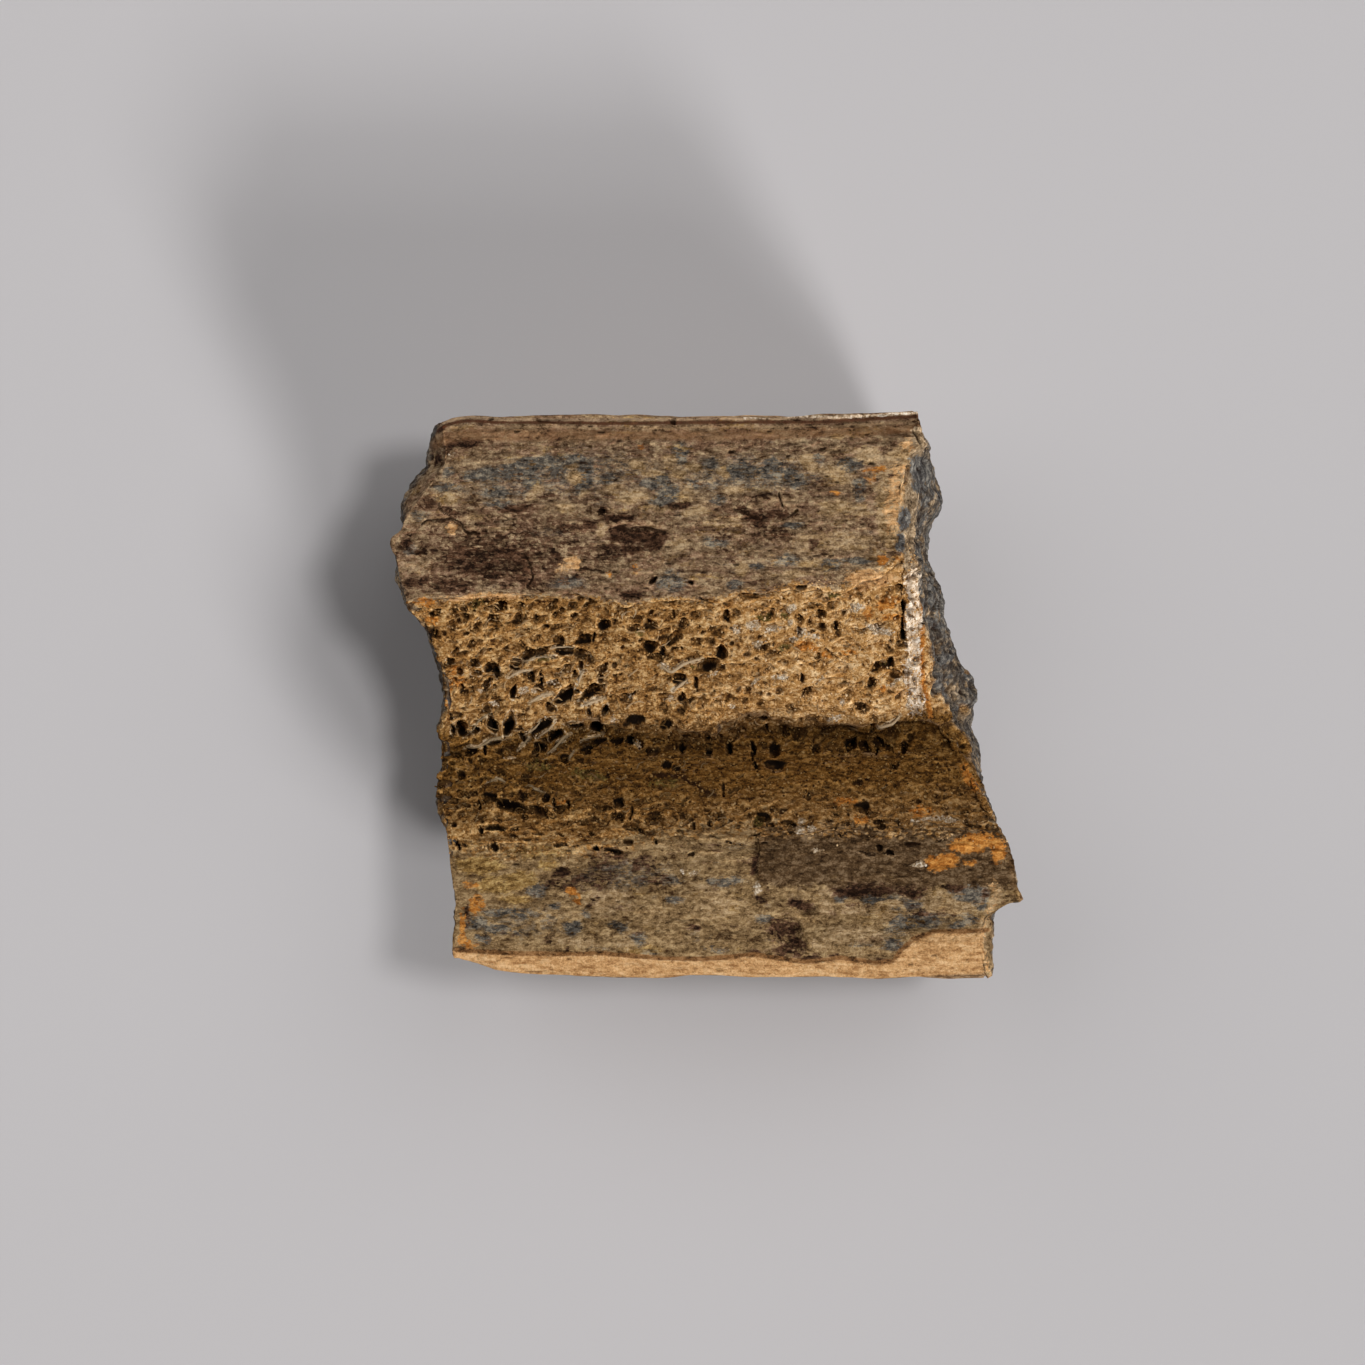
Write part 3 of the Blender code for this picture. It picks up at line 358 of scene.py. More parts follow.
# Fine relief: size and height, or length, width and height.
WALL_FIBRE = (2.6, 0.30, 0.10)
WALL_GRIT = (0.55, 0.07)
SPONGY_CELL = (0.95, 0.34)
SPONGY_PATCH_SIZE = 3.1
SPONGY_GRIT = (0.42, 0.09)
END_FINE_GRIT = (0.6, 0.14)
SIDE_FIBRE = (3.5, 0.38, 0.12)
UNDERSIDE_FIBRE = (4.0, 0.5, 0.05)
# How far the rim of a pore stands up.
RIM_LIFT = 0.12

# Scattered pits: spacing, how many times longer than wide, turn in degrees, share of the places that have
# one, least and largest radius, depth for each unit of radius.
SLOPE_PITS = (1.10, 1.8, 20, 0.50, 0.10, 0.26, 3.0)
FINE_PITS = (0.55, 1.5, 8, 0.50, 0.07, 0.17, 2.4)
TROUGH_PITS = (1.15, 1.8, 4, 0.50, 0.10, 0.28, 2.6)
WALL_PITS = (1.3, 3.0, 3, 0.50, 0.06, 0.16, 2.0)
END_PITS = (1.6, 1.2, 0, 0.5, 0.15, 0.5, 1.8)
UNDERSIDE_PITS = (2.4, 2.8, 2, 0.4, 0.10, 0.26, 1.2)
# How far the outline of a pore or pit wanders, and the size of its waves.
PORE_WANDER = 0.22
PORE_WAVE = 0.75
# Thin flaked layers of the dense walls: length and width of a flake, how close they follow each other, and
# the height of an edge.
FLAKE_LAYERS = (6.5, 1.7, 2.2, 0.13)

# Cracks of the marrow side: width and depth, then the route along and across the grain.
CRACKS = (
    (
        0.24, 0.45,
        ((-28.2, 17.4), (-26.3, 17.6), (-25.2, 17.6), (-24.4, 17.2), (-23.5, 16.3), (-22.5, 16.4)),
    ),
    (0.20, 0.40, ((-26.7, 19.3), (-26.2, 18.5), (-25.6, 18.0))),
    (0.18, 0.35, ((-29.0, 14.2), (-28.0, 14.5))),
    (0.20, 0.35, ((-18.0, 14.2), (-17.4, 13.2), (-17.2, 12.0), (-17.8, 11.0))),
    (0.18, 0.35, ((-13.0, 12.6), (-12.0, 12.8), (-10.8, 12.9), (-10.2, 12.6))),
    (0.24, 0.50, ((-9.6, 16.8), (-7.6, 16.9), (-5.6, 17.0), (-4.0, 16.4))),
    (0.22, 0.45, ((7.4, 20.5), (7.5, 19.6), (7.8, 19.2))),
    (0.22, 0.40, ((7.8, 17.9), (9.0, 18.4), (9.4, 18.7))),
    (0.20, 0.35, ((3.0, 18.8), (4.2, 18.3), (6.2, 17.8))),
    (0.16, 0.25, ((10.2, 14.1), (12.8, 14.3))),
    (0.18, 0.25, ((-21.0, 17.6), (-19.0, 17.7))),
    (0.18, 0.25, ((-20.8, 16.1), (-18.5, 16.4), (-16.5, 16.3))),
    (0.20, 0.45, ((20.8, 26.6), (21.3, 25.6), (21.7, 25.0))),
    (0.20, 0.20, ((-4.9, -18.6), (-4.6, -19.4), (-4.2, -20.4), (-4.1, -21.2))),
    (
        0.22, 0.20,
        (
            (-4.0, -22.7), (-2.6, -22.4), (-0.8, -22.4), (0.4, -23.0), (1.6, -23.6), (2.8, -23.7),
            (4.0, -23.4),
        ),
    ),
    (0.18, 0.25, ((-10.0, -22.8), (-8.6, -22.6), (-8.0, -23.0))),
    (0.18, 0.25, ((-22.6, -22.2), (-20.0, -22.2), (-17.5, -22.4))),
    (0.16, 0.25, ((-21.2, -26.6), (-20.0, -26.2), (-18.8, -26.0))),
    (0.12, 0.15, ((-20.4, -27.2), (-19.6, -27.4), (-18.0, -27.5), (-14.0, -27.7))),
    (0.18, 0.30, ((0.4, 8.9), (1.8, 9.1), (3.2, 9.2))),
    (0.16, 0.25, ((5.8, -20.0), (5.4, -20.4), (4.8, -20.7))),
    (0.16, 0.25, ((9.6, -25.2), (10.6, -26.0), (11.2, -26.4))),
)
# Dirt in the cracks leaves this much of their depth.
CRACK_SHARE = 0.8

# Where a stain's border starts and ends, as shares of the way from its middle to its outline.
STAIN_BORDER = (0.45, 1.35)
# Stains of the marrow side: along, across, length, width, turn in degrees, strength.
BLUE_STAINS = (
    (-14.0, 22.0, 22.0, 5.2, 4, 0.48), (5.0, 22.3, 18.0, 4.4, 0, 0.48), (22.0, -21.0, 14.0, 4.0, 0, 0.42),
    (-9.0, -18.2, 13.0, 3.6, 10, 0.50), (-19.0, -22.6, 12.0, 3.4, 0, 0.42), (24.5, -17.6, 8.0, 2.4, 0, 0.6),
    (-22.0, 22.2, 5.0, 1.6, 2, 1.0), (-19.0, 22.6, 6.5, 1.8, 8, 1.0), (-16.5, 23.4, 4.8, 1.8, 10, 1.0),
    (-14.8, 23.0, 2.4, 2.4, 0, 0.9), (-13.0, 23.8, 2.8, 1.4, 0, 1.0), (-17.3, 21.6, 2.2, 1.8, 0, 0.9),
    (-20.8, 20.5, 3.2, 1.4, 0, 0.9), (-11.9, 22.8, 2.2, 2.4, 0, 0.9), (-12.2, 21.4, 2.4, 2.2, 0, 1.0),
    (-9.6, 21.8, 2.0, 1.4, 0, 0.9), (-5.6, 21.3, 2.2, 1.0, 0, 1.0), (-4.2, 21.8, 1.6, 1.8, 0, 0.9),
    (-3.7, 20.4, 3.0, 2.0, 0, 1.0), (-4.8, 19.6, 2.8, 1.2, 0, 0.9), (-2.4, 24.3, 1.8, 2.6, 0, 0.9),
    (-1.2, 21.2, 1.4, 1.2, 0, 0.8), (0.6, 23.2, 1.6, 1.4, 0, 0.9), (3.3, 22.6, 4.0, 2.4, 0, 1.0),
    (7.2, 22.4, 5.0, 1.4, 0, 1.0), (6.8, 23.4, 2.6, 1.4, 0, 0.9), (9.2, 21.3, 2.2, 1.2, 0, 0.8),
    (11.2, 23.8, 1.6, 1.2, 0, 0.7), (14.4, 23.3, 2.8, 1.6, 0, 1.0), (15.4, 21.1, 1.8, 1.4, 0, 0.8),
    (15.6, 19.8, 1.4, 1.0, 0, 0.8), (1.3, 19.6, 2.2, 1.0, 0, 0.7), (12.6, 13.2, 2.2, 1.4, 0, 1.0),
    (15.0, 13.6, 3.6, 0.7, 0, 1.0), (3.0, 11.3, 1.8, 1.4, 0, 0.8), (-3.4, 11.6, 3.8, 2.2, 0, 0.8),
    (-13.8, 11.4, 4.2, 1.4, 0, 0.9), (1.0, 15.4, 2.8, 1.4, 0, 0.9), (5.0, 13.0, 2.2, 0.9, 0, 0.8),
    (8.0, 13.6, 3.6, 1.4, 0, 0.9), (8.8, 17.2, 2.4, 0.9, 0, 0.9), (-25.8, 22.4, 1.6, 1.2, 0, 0.8),
    (-26.0, 21.0, 3.0, 1.0, 0, 0.8), (-20.6, 19.3, 3.6, 1.0, 0, 0.9), (-28.5, 18.2, 2.4, 1.4, 0, 0.7),
    (-29.4, 14.8, 1.6, 1.6, 0, 0.7), (20.9, 20.0, 1.4, 2.2, 0, 0.8), (-15.6, 16.4, 4.0, 1.2, 0, 0.6),
    (-20.5, -21.7, 3.8, 0.9, 0, 1.0), (-18.6, -22.2, 2.0, 0.9, 0, 1.0), (-22.9, -22.7, 2.6, 1.4, 0, 1.0),
    (-21.0, -23.3, 2.8, 1.0, 0, 0.9), (-22.4, -24.3, 1.8, 0.9, 0, 1.0), (-17.0, -19.4, 2.4, 1.8, 0, 0.9),
    (-15.2, -21.0, 1.4, 0.8, 0, 0.9), (-13.4, -23.2, 2.0, 1.6, 0, 1.0), (-12.0, -21.7, 0.9, 1.6, 0, 0.8),
    (-9.2, -22.9, 1.6, 0.8, 0, 0.9), (-8.3, -23.2, 1.4, 1.4, 0, 0.9), (-6.6, -24.4, 2.0, 1.8, 0, 0.8),
    (-3.2, -20.4, 2.0, 0.9, 0, 0.9), (1.8, -18.5, 4.8, 1.2, 0, 0.8), (-3.5, -18.5, 2.8, 1.2, 0, 0.8),
    (5.9, -22.2, 2.2, 1.0, 0, 0.8), (16.7, -20.4, 2.6, 1.4, 0, 1.0), (13.6, -20.2, 1.6, 1.0, 0, 0.9),
    (20.8, -20.9, 2.0, 1.2, 0, 0.9), (21.0, -22.6, 5.2, 1.5, 0, 1.5), (22.5, -22.2, 1.8, 1.4, 0, 1.2),
    (25.3, -23.0, 1.8, 0.8, 0, 0.9), (26.4, -19.5, 3.6, 2.0, 0, 1.8), (27.9, -20.3, 1.4, 2.6, 0, 1.5),
    (26.6, -22.4, 2.0, 1.2, 0, 0.8), (19.0, -23.6, 3.0, 1.2, 0, 0.7), (19.0, -24.9, 2.2, 1.8, 0, 0.7),
    (15.5, -24.8, 3.0, 1.2, 0, 0.5), (-5.6, -25.6, 2.4, 0.8, 0, 0.7), (1.0, -25.4, 3.0, 0.8, 0, 0.6),
)
DARK_STAINS = (
    (-19.5, 14.4, 21.0, 8.0, -3, 0.60), (-22.0, 13.5, 11.0, 4.6, 0, 0.80), (-7.2, 16.1, 5.8, 1.6, 2, 1.2),
    (-4.9, 15.6, 3.2, 1.6, 40, 1.1), (-8.6, 16.6, 2.4, 1.2, 0, 1.2), (-8.4, 18.0, 3.8, 1.0, 0, 0.95),
    (-18.8, 18.8, 4.4, 0.9, 3, 0.85), (-10.3, 18.5, 1.2, 1.2, 45, 0.9), (4.6, 18.2, 3.8, 1.5, -22, 0.9),
    (7.0, 18.4, 3.6, 1.2, 0, 0.9), (5.4, 17.5, 1.8, 1.2, 0, 0.9), (-7.2, 10.3, 2.6, 1.0, 0, 0.9),
    (-24.0, 25.4, 4.4, 1.1, 3, 1.0), (-26.6, 27.0, 1.2, 1.4, 0, 1.0), (-26.8, 23.8, 0.8, 1.4, -15, 1.0),
    (-29.8, 15.6, 1.2, 1.8, 0, 0.9), (-28.4, 14.4, 1.6, 0.9, 20, 0.9), (-29.6, 11.4, 1.8, 1.6, 0, 0.9),
    (-28.2, 11.8, 1.4, 0.9, 0, 0.9), (-25.0, 11.4, 7.0, 2.2, 0, 0.65), (-9.0, 14.4, 6.0, 2.2, 0, 0.62),
    (-11.4, 17.2, 2.4, 1.8, 0, 0.6), (-5.2, 11.8, 1.2, 0.8, 40, 0.9), (-1.5, 11.4, 0.9, 0.7, 0, 0.9),
    (10.5, 27.1, 1.6, 0.8, 0, 0.85), (11.2, 26.3, 1.0, 0.5, 20, 0.9), (18.8, 26.6, 2.4, 0.9, 0, 0.75),
    (21.2, 26.9, 0.8, 1.6, 0, 0.9), (7.0, 16.3, 3.8, 1.1, 0, 0.65), (18.6, 22.2, 1.0, 0.8, 30, 0.9),
    (-28.0, 19.4, 2.4, 1.4, 0, 0.7), (-25.2, 18.6, 2.0, 1.2, -30, 0.8), (-14.0, 15.2, 5.0, 1.2, 0, 0.5),
    (-2.6, 19.2, 3.4, 0.8, 0, 0.8), (5.6, 20.0, 3.0, 1.0, 0, 0.55), (-15.5, 20.0, 2.4, 1.2, 0, 0.6),
    (10.9, 15.2, 1.2, 1.0, 50, 0.7), (1.8, 16.0, 2.2, 0.8, 0, 0.5), (-26.0, 16.6, 3.0, 1.0, 0, 0.5),
    (-10.0, -16.2, 5.0, 2.8, 0, 0.55), (-11.0, -18.5, 5.0, 2.0, 20, 0.60),
    (-14.6, -17.9, 2.6, 0.9, 20, 0.7), (-14.0, -18.8, 5.4, 1.6, 0, 0.6), (-5.8, -16.6, 3.0, 1.8, 0, 0.60),
    (-6.9, -17.1, 1.0, 1.4, 0, 0.8), (-4.8, -18.4, 3.2, 1.2, 0, 0.65), (14.8, -19.2, 4.6, 2.0, 0, 1.3),
    (20.2, -19.0, 4.6, 2.1, -10, 1.3), (17.4, -19.1, 4.2, 1.9, 0, 1.2), (25.0, -19.0, 2.8, 1.2, -5, 1.0),
    (28.1, -19.6, 0.9, 2.0, 0, 0.7), (17.2, -19.3, 2.4, 1.0, 0, 0.7), (21.2, -21.4, 3.4, 1.1, -25, 0.40),
    (8.0, -23.4, 3.6, 2.8, 0, 0.80), (8.9, -25.2, 3.6, 2.2, 0, 0.70), (9.8, -20.9, 3.2, 1.1, -10, 1.0),
    (10.8, -26.2, 2.0, 1.0, 10, 1.1), (13.0, -26.1, 1.6, 0.5, 0, 1.0), (18.0, -26.6, 2.0, 0.5, 0, 1.0),
    (5.1, -16.9, 1.1, 2.4, 0, 1.0), (5.6, -20.2, 1.8, 0.9, -40, 0.8), (-1.0, -23.1, 1.8, 0.8, -10, 0.95),
    (4.8, -25.6, 1.4, 0.9, 0, 0.75), (-24.6, -25.3, 1.8, 0.7, 0, 1.0), (-24.0, -22.0, 0.9, 3.0, 0, 0.7),
    (-11.2, -20.5, 2.2, 0.9, 40, 0.6), (-13.7, -25.4, 0.7, 1.0, 0, 0.8), (-15.6, -24.4, 1.2, 1.4, -30, 0.6),
    (2.6, -22.9, 2.4, 0.6, 0, 0.5),
)
YELLOW_STAINS = (
    (-25.6, 19.9, 1.6, 1.3, 0, 1.0), (-17.0, 20.3, 2.4, 1.2, 35, 1.0), (-13.2, 21.9, 1.4, 1.4, 0, 1.0),
    (-13.2, 23.1, 1.6, 0.8, 0, 0.8), (-14.0, 18.8, 2.2, 1.1, 10, 0.8), (-7.2, 19.9, 3.6, 1.2, 3, 1.0),
    (-6.8, 23.2, 2.2, 1.1, 0, 1.0), (-5.2, 22.3, 2.6, 0.9, 0, 0.8), (-1.9, 20.2, 1.6, 1.8, 0, 1.0),
    (-3.6, 23.6, 1.4, 1.4, 0, 0.8), (-2.6, 22.2, 1.8, 1.2, 0, 0.8), (-1.2, 23.0, 1.8, 1.0, 0, 0.8),
    (3.0, 20.6, 3.0, 1.1, 5, 0.8), (1.8, 22.4, 1.4, 1.0, 0, 0.8), (10.4, 23.2, 2.4, 1.3, -40, 1.0),
    (12.8, 22.6, 3.4, 1.4, 0, 0.7), (13.8, 21.8, 1.8, 1.4, 0, 0.7), (16.5, 24.1, 2.6, 1.6, 0, 1.0),
    (13.5, 26.1, 2.8, 0.9, 0, 0.7), (-20.4, 16.8, 3.0, 0.8, 0, 0.9), (-22.8, 18.0, 3.2, 1.0, 0, 0.8),
    (-0.8, 18.6, 3.4, 1.1, 5, 0.75), (2.0, 17.4, 4.6, 1.3, 0, 0.6), (3.8, 12.8, 1.3, 1.6, 0, 0.8),
    (8.5, 12.2, 5.6, 0.9, 0, 0.65), (12.5, 15.5, 9.0, 2.2, 0, 0.62), (10.6, 13.4, 2.8, 0.8, 5, 0.75),
    (14.0, 18.6, 6.0, 2.4, 0, 0.6), (-9.2, 20.8, 3.2, 0.8, 5, 0.6), (-5.0, 18.8, 4.0, 0.9, 0, 0.65),
    (-12.0, 20.4, 2.0, 0.9, 30, 0.6), (-10.4, 16.8, 1.4, 1.8, 0, 0.7), (-2.4, 15.4, 3.0, 1.6, 0, 0.55),
    (-9.5, -20.6, 7.0, 3.4, 0, 0.5), (-8.0, -25.0, 2.2, 1.5, 0, 0.9), (-0.5, -19.4, 5.6, 1.6, 0, 0.65),
    (1.0, -21.2, 5.6, 2.4, 0, 0.65), (14.8, -21.3, 2.9, 1.3, 0, 1.2), (18.2, -20.9, 3.0, 1.0, 8, 1.2),
    (12.0, -21.1, 2.4, 1.4, 0, 0.8), (24.4, -21.0, 5.2, 1.5, -5, 1.3), (18.4, -21.8, 2.4, 1.0, 0, 0.9),
    (12.5, -19.7, 3.0, 0.7, 4, 0.7), (15.0, -23.8, 6.5, 2.2, 0, 0.72), (23.5, -20.1, 3.0, 1.0, 0, 0.8),
    (29.2, -19.3, 1.0, 2.8, 0, 0.9), (-13.0, -24.6, 5.0, 1.4, 0, 0.45), (11.6, -24.6, 2.4, 1.6, 0, 0.6),
    (-19.0, -25.0, 4.0, 0.9, 0, 0.45), (18.6, 19.0, 3.0, 9.5, -3, 1.2), (19.8, 24.0, 2.6, 2.6, 0, 0.9),
)
GOLD_STAINS = (
    (-18.6, -18.4, 3.4, 1.8, 8, 1.2), (-21.0, -18.9, 5.4, 1.7, 3, 1.1), (-22.5, -17.0, 5.0, 2.0, 3, 1.0),
    (-15.8, -17.0, 2.4, 1.2, 0, 0.8), (-19.0, -20.3, 3.8, 1.0, 0, 0.8), (-17.0, -15.6, 7.0, 1.6, 0, 0.7),
    (-23.5, -14.6, 3.0, 1.4, 0, 0.6), (-6.6, -25.4, 5.0, 1.0, 0, 0.5),
)
RUST_STAINS = (
    (27.0, -14.7, 5.2, 2.0, 8, 1.1), (29.4, -15.4, 1.6, 3.2, 0, 1.0), (24.0, -16.6, 3.6, 1.8, 10, 1.1),
    (26.6, -16.7, 2.4, 0.6, 0, 0.8), (-13.4, -19.7, 0.9, 1.0, 0, 1.0), (-12.9, -20.4, 0.9, 0.9, 0, 0.7),
    (-23.0, -20.9, 1.8, 2.0, 0, 0.8), (-23.6, -19.0, 1.8, 1.0, 0, 0.7), (-23.6, -25.0, 1.6, 1.2, 0, 0.8),
    (-24.4, -23.4, 0.8, 4.2, 0, 0.75), (16.9, 22.7, 2.6, 0.8, 0, 0.75), (16.5, 21.9, 1.4, 0.8, 0, 0.6),
    (12.9, 20.5, 1.3, 0.7, 0, 0.9), (17.9, 13.7, 1.3, 0.9, 0, 1.0), (19.4, 13.7, 1.0, 0.5, 0, 0.8),
    (16.4, 8.4, 1.3, 1.5, 0, 0.95), (18.2, 9.4, 2.6, 1.3, 15, 0.95), (18.7, 8.1, 1.8, 0.9, 0, 0.9),
    (10.4, 5.1, 2.6, 1.1, -15, 1.0), (12.4, 4.2, 1.3, 1.0, 0, 0.9), (14.6, 4.5, 1.6, 0.8, 0, 0.7),
    (18.1, 0.8, 0.8, 0.8, 0, 1.0), (15.8, -12.4, 1.8, 1.0, 0, 0.9), (22.0, -11.6, 3.2, 1.4, 0, 0.8),
    (14.4, -10.5, 3.4, 0.8, 5, 0.8), (27.0, -8.4, 3.4, 1.2, -60, 0.95), (-6.4, 25.2, 0.7, 0.6, 0, 0.55),
    (-9.7, 12.2, 0.8, 1.1, 0, 0.45), (-7.0, 13.0, 0.7, 1.4, 0, 0.4), (-25.0, 1.6, 2.2, 1.4, 0, 0.85),
    (-27.6, 7.7, 1.6, 1.2, 0, 0.9), (-25.3, 2.8, 1.6, 1.0, 0, 0.8), (-14.4, -10.6, 1.0, 0.8, 0, 0.8),
    (-28.0, 9.4, 3.0, 1.0, -10, 0.7), (-26.0, -0.5, 0.9, 4.0, 0, 0.55), (-6.0, 3.2, 2.4, 1.0, 0, 0.35),
)
TAN_STAINS = (
    (18.9, 19.4, 2.2, 7.6, -3, 0.68), (19.2, 22.6, 2.2, 1.8, 0, 0.55), (-13.4, 13.3, 2.6, 1.7, 15, 0.85),
    (-14.2, 12.6, 2.0, 0.9, 0, 0.70), (20.5, 25.0, 2.2, 2.0, 0, 0.6), (-22.0, 10.1, 9.0, 0.7, 2, 0.9),
    (16.4, 11.8, 6.0, 2.2, 0, 0.85), (-25.4, 16.7, 1.4, 1.2, 0, 0.8), (19.4, 0.4, 2.0, 1.6, 0, 0.6),
)
PALE_STAINS = (
    (17.4, 6.8, 3.2, 1.0, -12, 1.0), (19.4, 1.5, 2.2, 0.5, 28, 1.1), (13.3, -2.2, 2.0, 0.6, 0, 1.0),
    (8.7, 8.8, 0.8, 0.8, 0, 0.9), (8.6, 7.4, 0.7, 0.6, 0, 0.9), (9.7, 6.6, 1.4, 0.9, 0, 0.85),
    (7.0, 6.9, 2.2, 0.8, 0, 0.95), (5.4, 5.5, 1.6, 0.7, 0, 0.9), (8.9, 5.9, 1.2, 0.5, 0, 0.9),
    (3.1, 6.9, 1.1, 1.0, 0, 0.8), (4.9, 7.2, 1.6, 1.0, 0, 0.7), (7.6, 2.0, 1.9, 0.7, 0, 1.1),
    (5.2, 1.6, 1.3, 0.4, 45, 0.9), (11.6, 1.8, 1.5, 0.4, 25, 0.8), (13.8, -0.5, 0.5, 0.5, 0, 1.0),
    (3.0, -1.0, 0.7, 0.5, 0, 0.8), (15.2, 8.9, 2.0, 1.3, 10, 0.7), (10.8, 6.1, 1.6, 0.6, 0, 0.7),
    (9.8, -12.5, 1.0, 0.5, 0, 1.0), (9.6, -13.3, 1.1, 0.9, 0, 0.9), (10.7, -13.3, 1.0, 0.7, 0, 0.9),
    (24.5, -12.4, 2.4, 0.7, -3, 1.1), (22.0, -12.4, 3.2, 0.35, 0, 0.8), (21.5, -16.9, 1.7, 0.5, 10, 0.9),
    (11.2, -15.5, 1.0, 0.35, 0, 0.8), (5.2, -19.2, 0.6, 1.2, -25, 1.1), (-1.1, -17.7, 1.1, 0.5, 0, 1.0),
    (-2.4, -17.6, 0.8, 0.3, 0, 0.8), (-25.4, 24.4, 1.0, 0.5, 0, 0.8), (22.6, 25.4, 1.2, 2.2, 0, 0.8),
    (-18.4, 0.6, 1.0, 0.8, 0, 0.85), (-17.5, 0.7, 0.7, 0.7, 0, 0.9), (-21.4, -0.7, 1.1, 0.7, 0, 0.85),
    (-15.6, 1.6, 0.9, 0.5, 0, 0.8), (-12.2, -0.6, 0.9, 0.4, 30, 0.8), (-15.9, -2.0, 0.8, 0.4, 0, 0.8),
    (-4.1, 3.1, 1.3, 0.7, -20, 0.8), (-7.5, 0.3, 1.0, 0.5, 0, 0.9), (-9.3, -2.4, 1.1, 0.7, -30, 0.75),
    (-22.9, 0.7, 0.7, 0.5, 0, 0.8), (-17.0, -4.2, 0.9, 0.5, 0, 0.7), (-19.6, -6.1, 1.6, 0.5, 10, 0.6),
    (0.8, 2.2, 1.2, 0.5, 20, 0.7), (-3.4, 0.0, 0.9, 0.3, 10, 0.9), (-6.9, -4.9, 0.4, 0.9, 25, 0.8),
    (21.0, -1.0, 1.6, 1.6, 0, 0.7),
)
# Olive dirt, in the filled pores and on the far side of the trough.
OLIVE_DIRT = tuple((*pore, 1.1) for pore in FILLED_PORES) + (
    (-17.0, -7.0, 3.4, 1.5, -5, 0.75), (-12.0, -8.0, 4.4, 1.5, -5, 0.75), (-4.2, -8.8, 3.2, 1.2, 0, 0.7),
)
# Slate patches on the right end, in the same order as the stains.
SLATE_PATCHES = (
    (21.7, 23.0, 2.8, 2.8, 0, 1.2), (21.6, 21.2, 2.0, 1.6, 0, 1.0), (19.9, 17.8, 1.5, 2.4, 0, 1.2),
    (19.6, 15.4, 1.1, 2.4, 0, 1.1), (23.4, 16.0, 1.6, 4.0, 0, 0.8), (24.5, 9.0, 2.4, 5.0, 0, 0.6),
)
# Where the pale lower chamfer starts: place along the grain, then across it.
CHAMFER = (
    (-25.0, -25.6), (-20.0, -25.9), (-14.0, -26.0), (-10.0, -25.9), (-4.0, -26.4), (0.0, -26.5),
    (5.0, -26.0), (10.0, -26.8), (14.0, -26.3), (17.0, -26.9), (19.0, -26.6), (19.6, -25.6), (21.0, -24.4),
    (23.0, -23.7), (28.5, -23.6),
)
BRINK_WIDTH = 0.42
# Lines on the right end and the long edges: how wide they are, then their route.
LIGHT_RIM = (
    0.75,
    ((28.7, -18.3), (29.5, -19.8), (28.5, -21.8), (27.8, -23.8), (28.1, -26.5), (28.5, -28.1)),
)
WHITE_BAND = (1.3, ((20.9, 12.2), (21.0, 8.7), (21.0, 3.7), (21.2, 0.7), (21.6, -1.3)))
CREAM_BAND = (1.3, ((21.6, 26.4), (20.9, 21.0), (20.5, 17.5), (20.3, 15.0), (20.8, 12.0)))
RED_LINE = (0.42, ((21.9, 13.0), (22.0, 8.0), (21.9, 4.0), (22.3, 1.0), (23.0, -2.0)))
WHITE_EDGE = (0.22, ((4.0, 28.0), (9.0, 28.1), (14.0, 28.0), (21.2, 28.5)))
# Pale streaks of the spongy bone, and the struts that stand up there: radius, then the route.
STRUTS = (
    (0.15, ((-20.0, 1.9), (-18.6, 2.6), (-17.6, 2.7))),
    (0.15, ((-17.8, -0.6), (-16.4, 0.2), (-15.4, 0.3))),
    (0.14, ((-12.8, 1.4), (-12.4, 2.4), (-11.9, 2.6))),
    (0.16, ((-12.4, -0.9), (-11.5, -0.6), (-10.2, -0.1))),
    (0.15, ((-16.0, -5.8), (-15.0, -4.9), (-14.3, -4.1), (-13.9, -4.0))),
    (0.13, ((-13.9, -6.5), (-13.4, -5.6))),
    (0.14, ((-19.0, -5.4), (-17.9, -4.2))),
    (0.16, ((-4.4, 3.2), (-3.4, 2.5), (-2.0, 3.4), (-0.2, 3.9))),
    (0.15, ((-3.2, 0.6), (-1.8, 1.7))),
    (0.12, ((-4.0, -0.3), (-3.0, 0.0))),
    (0.13, ((-21.9, -8.7), (-21.0, -8.3), (-20.2, -8.7))),
    (0.15, ((-17.9, -9.0), (-16.4, -9.7))),
    (0.12, ((-7.4, -4.3), (-6.8, -5.2))),
    (0.17, ((19.9, -1.9), (19.2, -2.7), (18.0, -3.1), (17.6, -2.9))),
    (0.13, ((-22.6, -5.0), (-21.6, -4.3), (-19.8, -4.0))),
    (0.12, ((-24.6, -5.2), (-23.0, -5.1), (-22.0, -4.3))),
    (0.12, ((-16.6, -2.4), (-17.6, -3.4), (-18.6, -4.0))),
    (0.12, ((-15.0, -2.4), (-15.9, -3.3), (-17.0, -4.1))),
    (0.12, ((-23.8, -3.6), (-22.9, -2.4), (-21.9, -1.7))),
    (0.11, ((-19.4, 3.8), (-18.0, 3.6), (-16.8, 4.0), (-15.2, 4.0))),
    (0.11, ((-15.6, 4.9), (-14.2, 5.1), (-13.2, 5.0))),
    (0.11, ((-12.6, -4.4), (-11.6, -4.2), (-10.4, -3.9))),
)
STRUT_ARCH = 0.10
# Small struts between the pores, besides those: how many, where they may lie, how far they reach from their
# middle, their radius and how high they arch.
STRUT_COUNT = 200
STRUT_SEED = 5
STRUT_FIELD = ((-26.0, 19.0), (-12.5, 9.5))
SMALL_STRUT_REACH = (0.30, 0.75)
SMALL_STRUT_RADIUS = (0.06, 0.11)
SMALL_STRUT_ARCH = (0.0, 0.12)
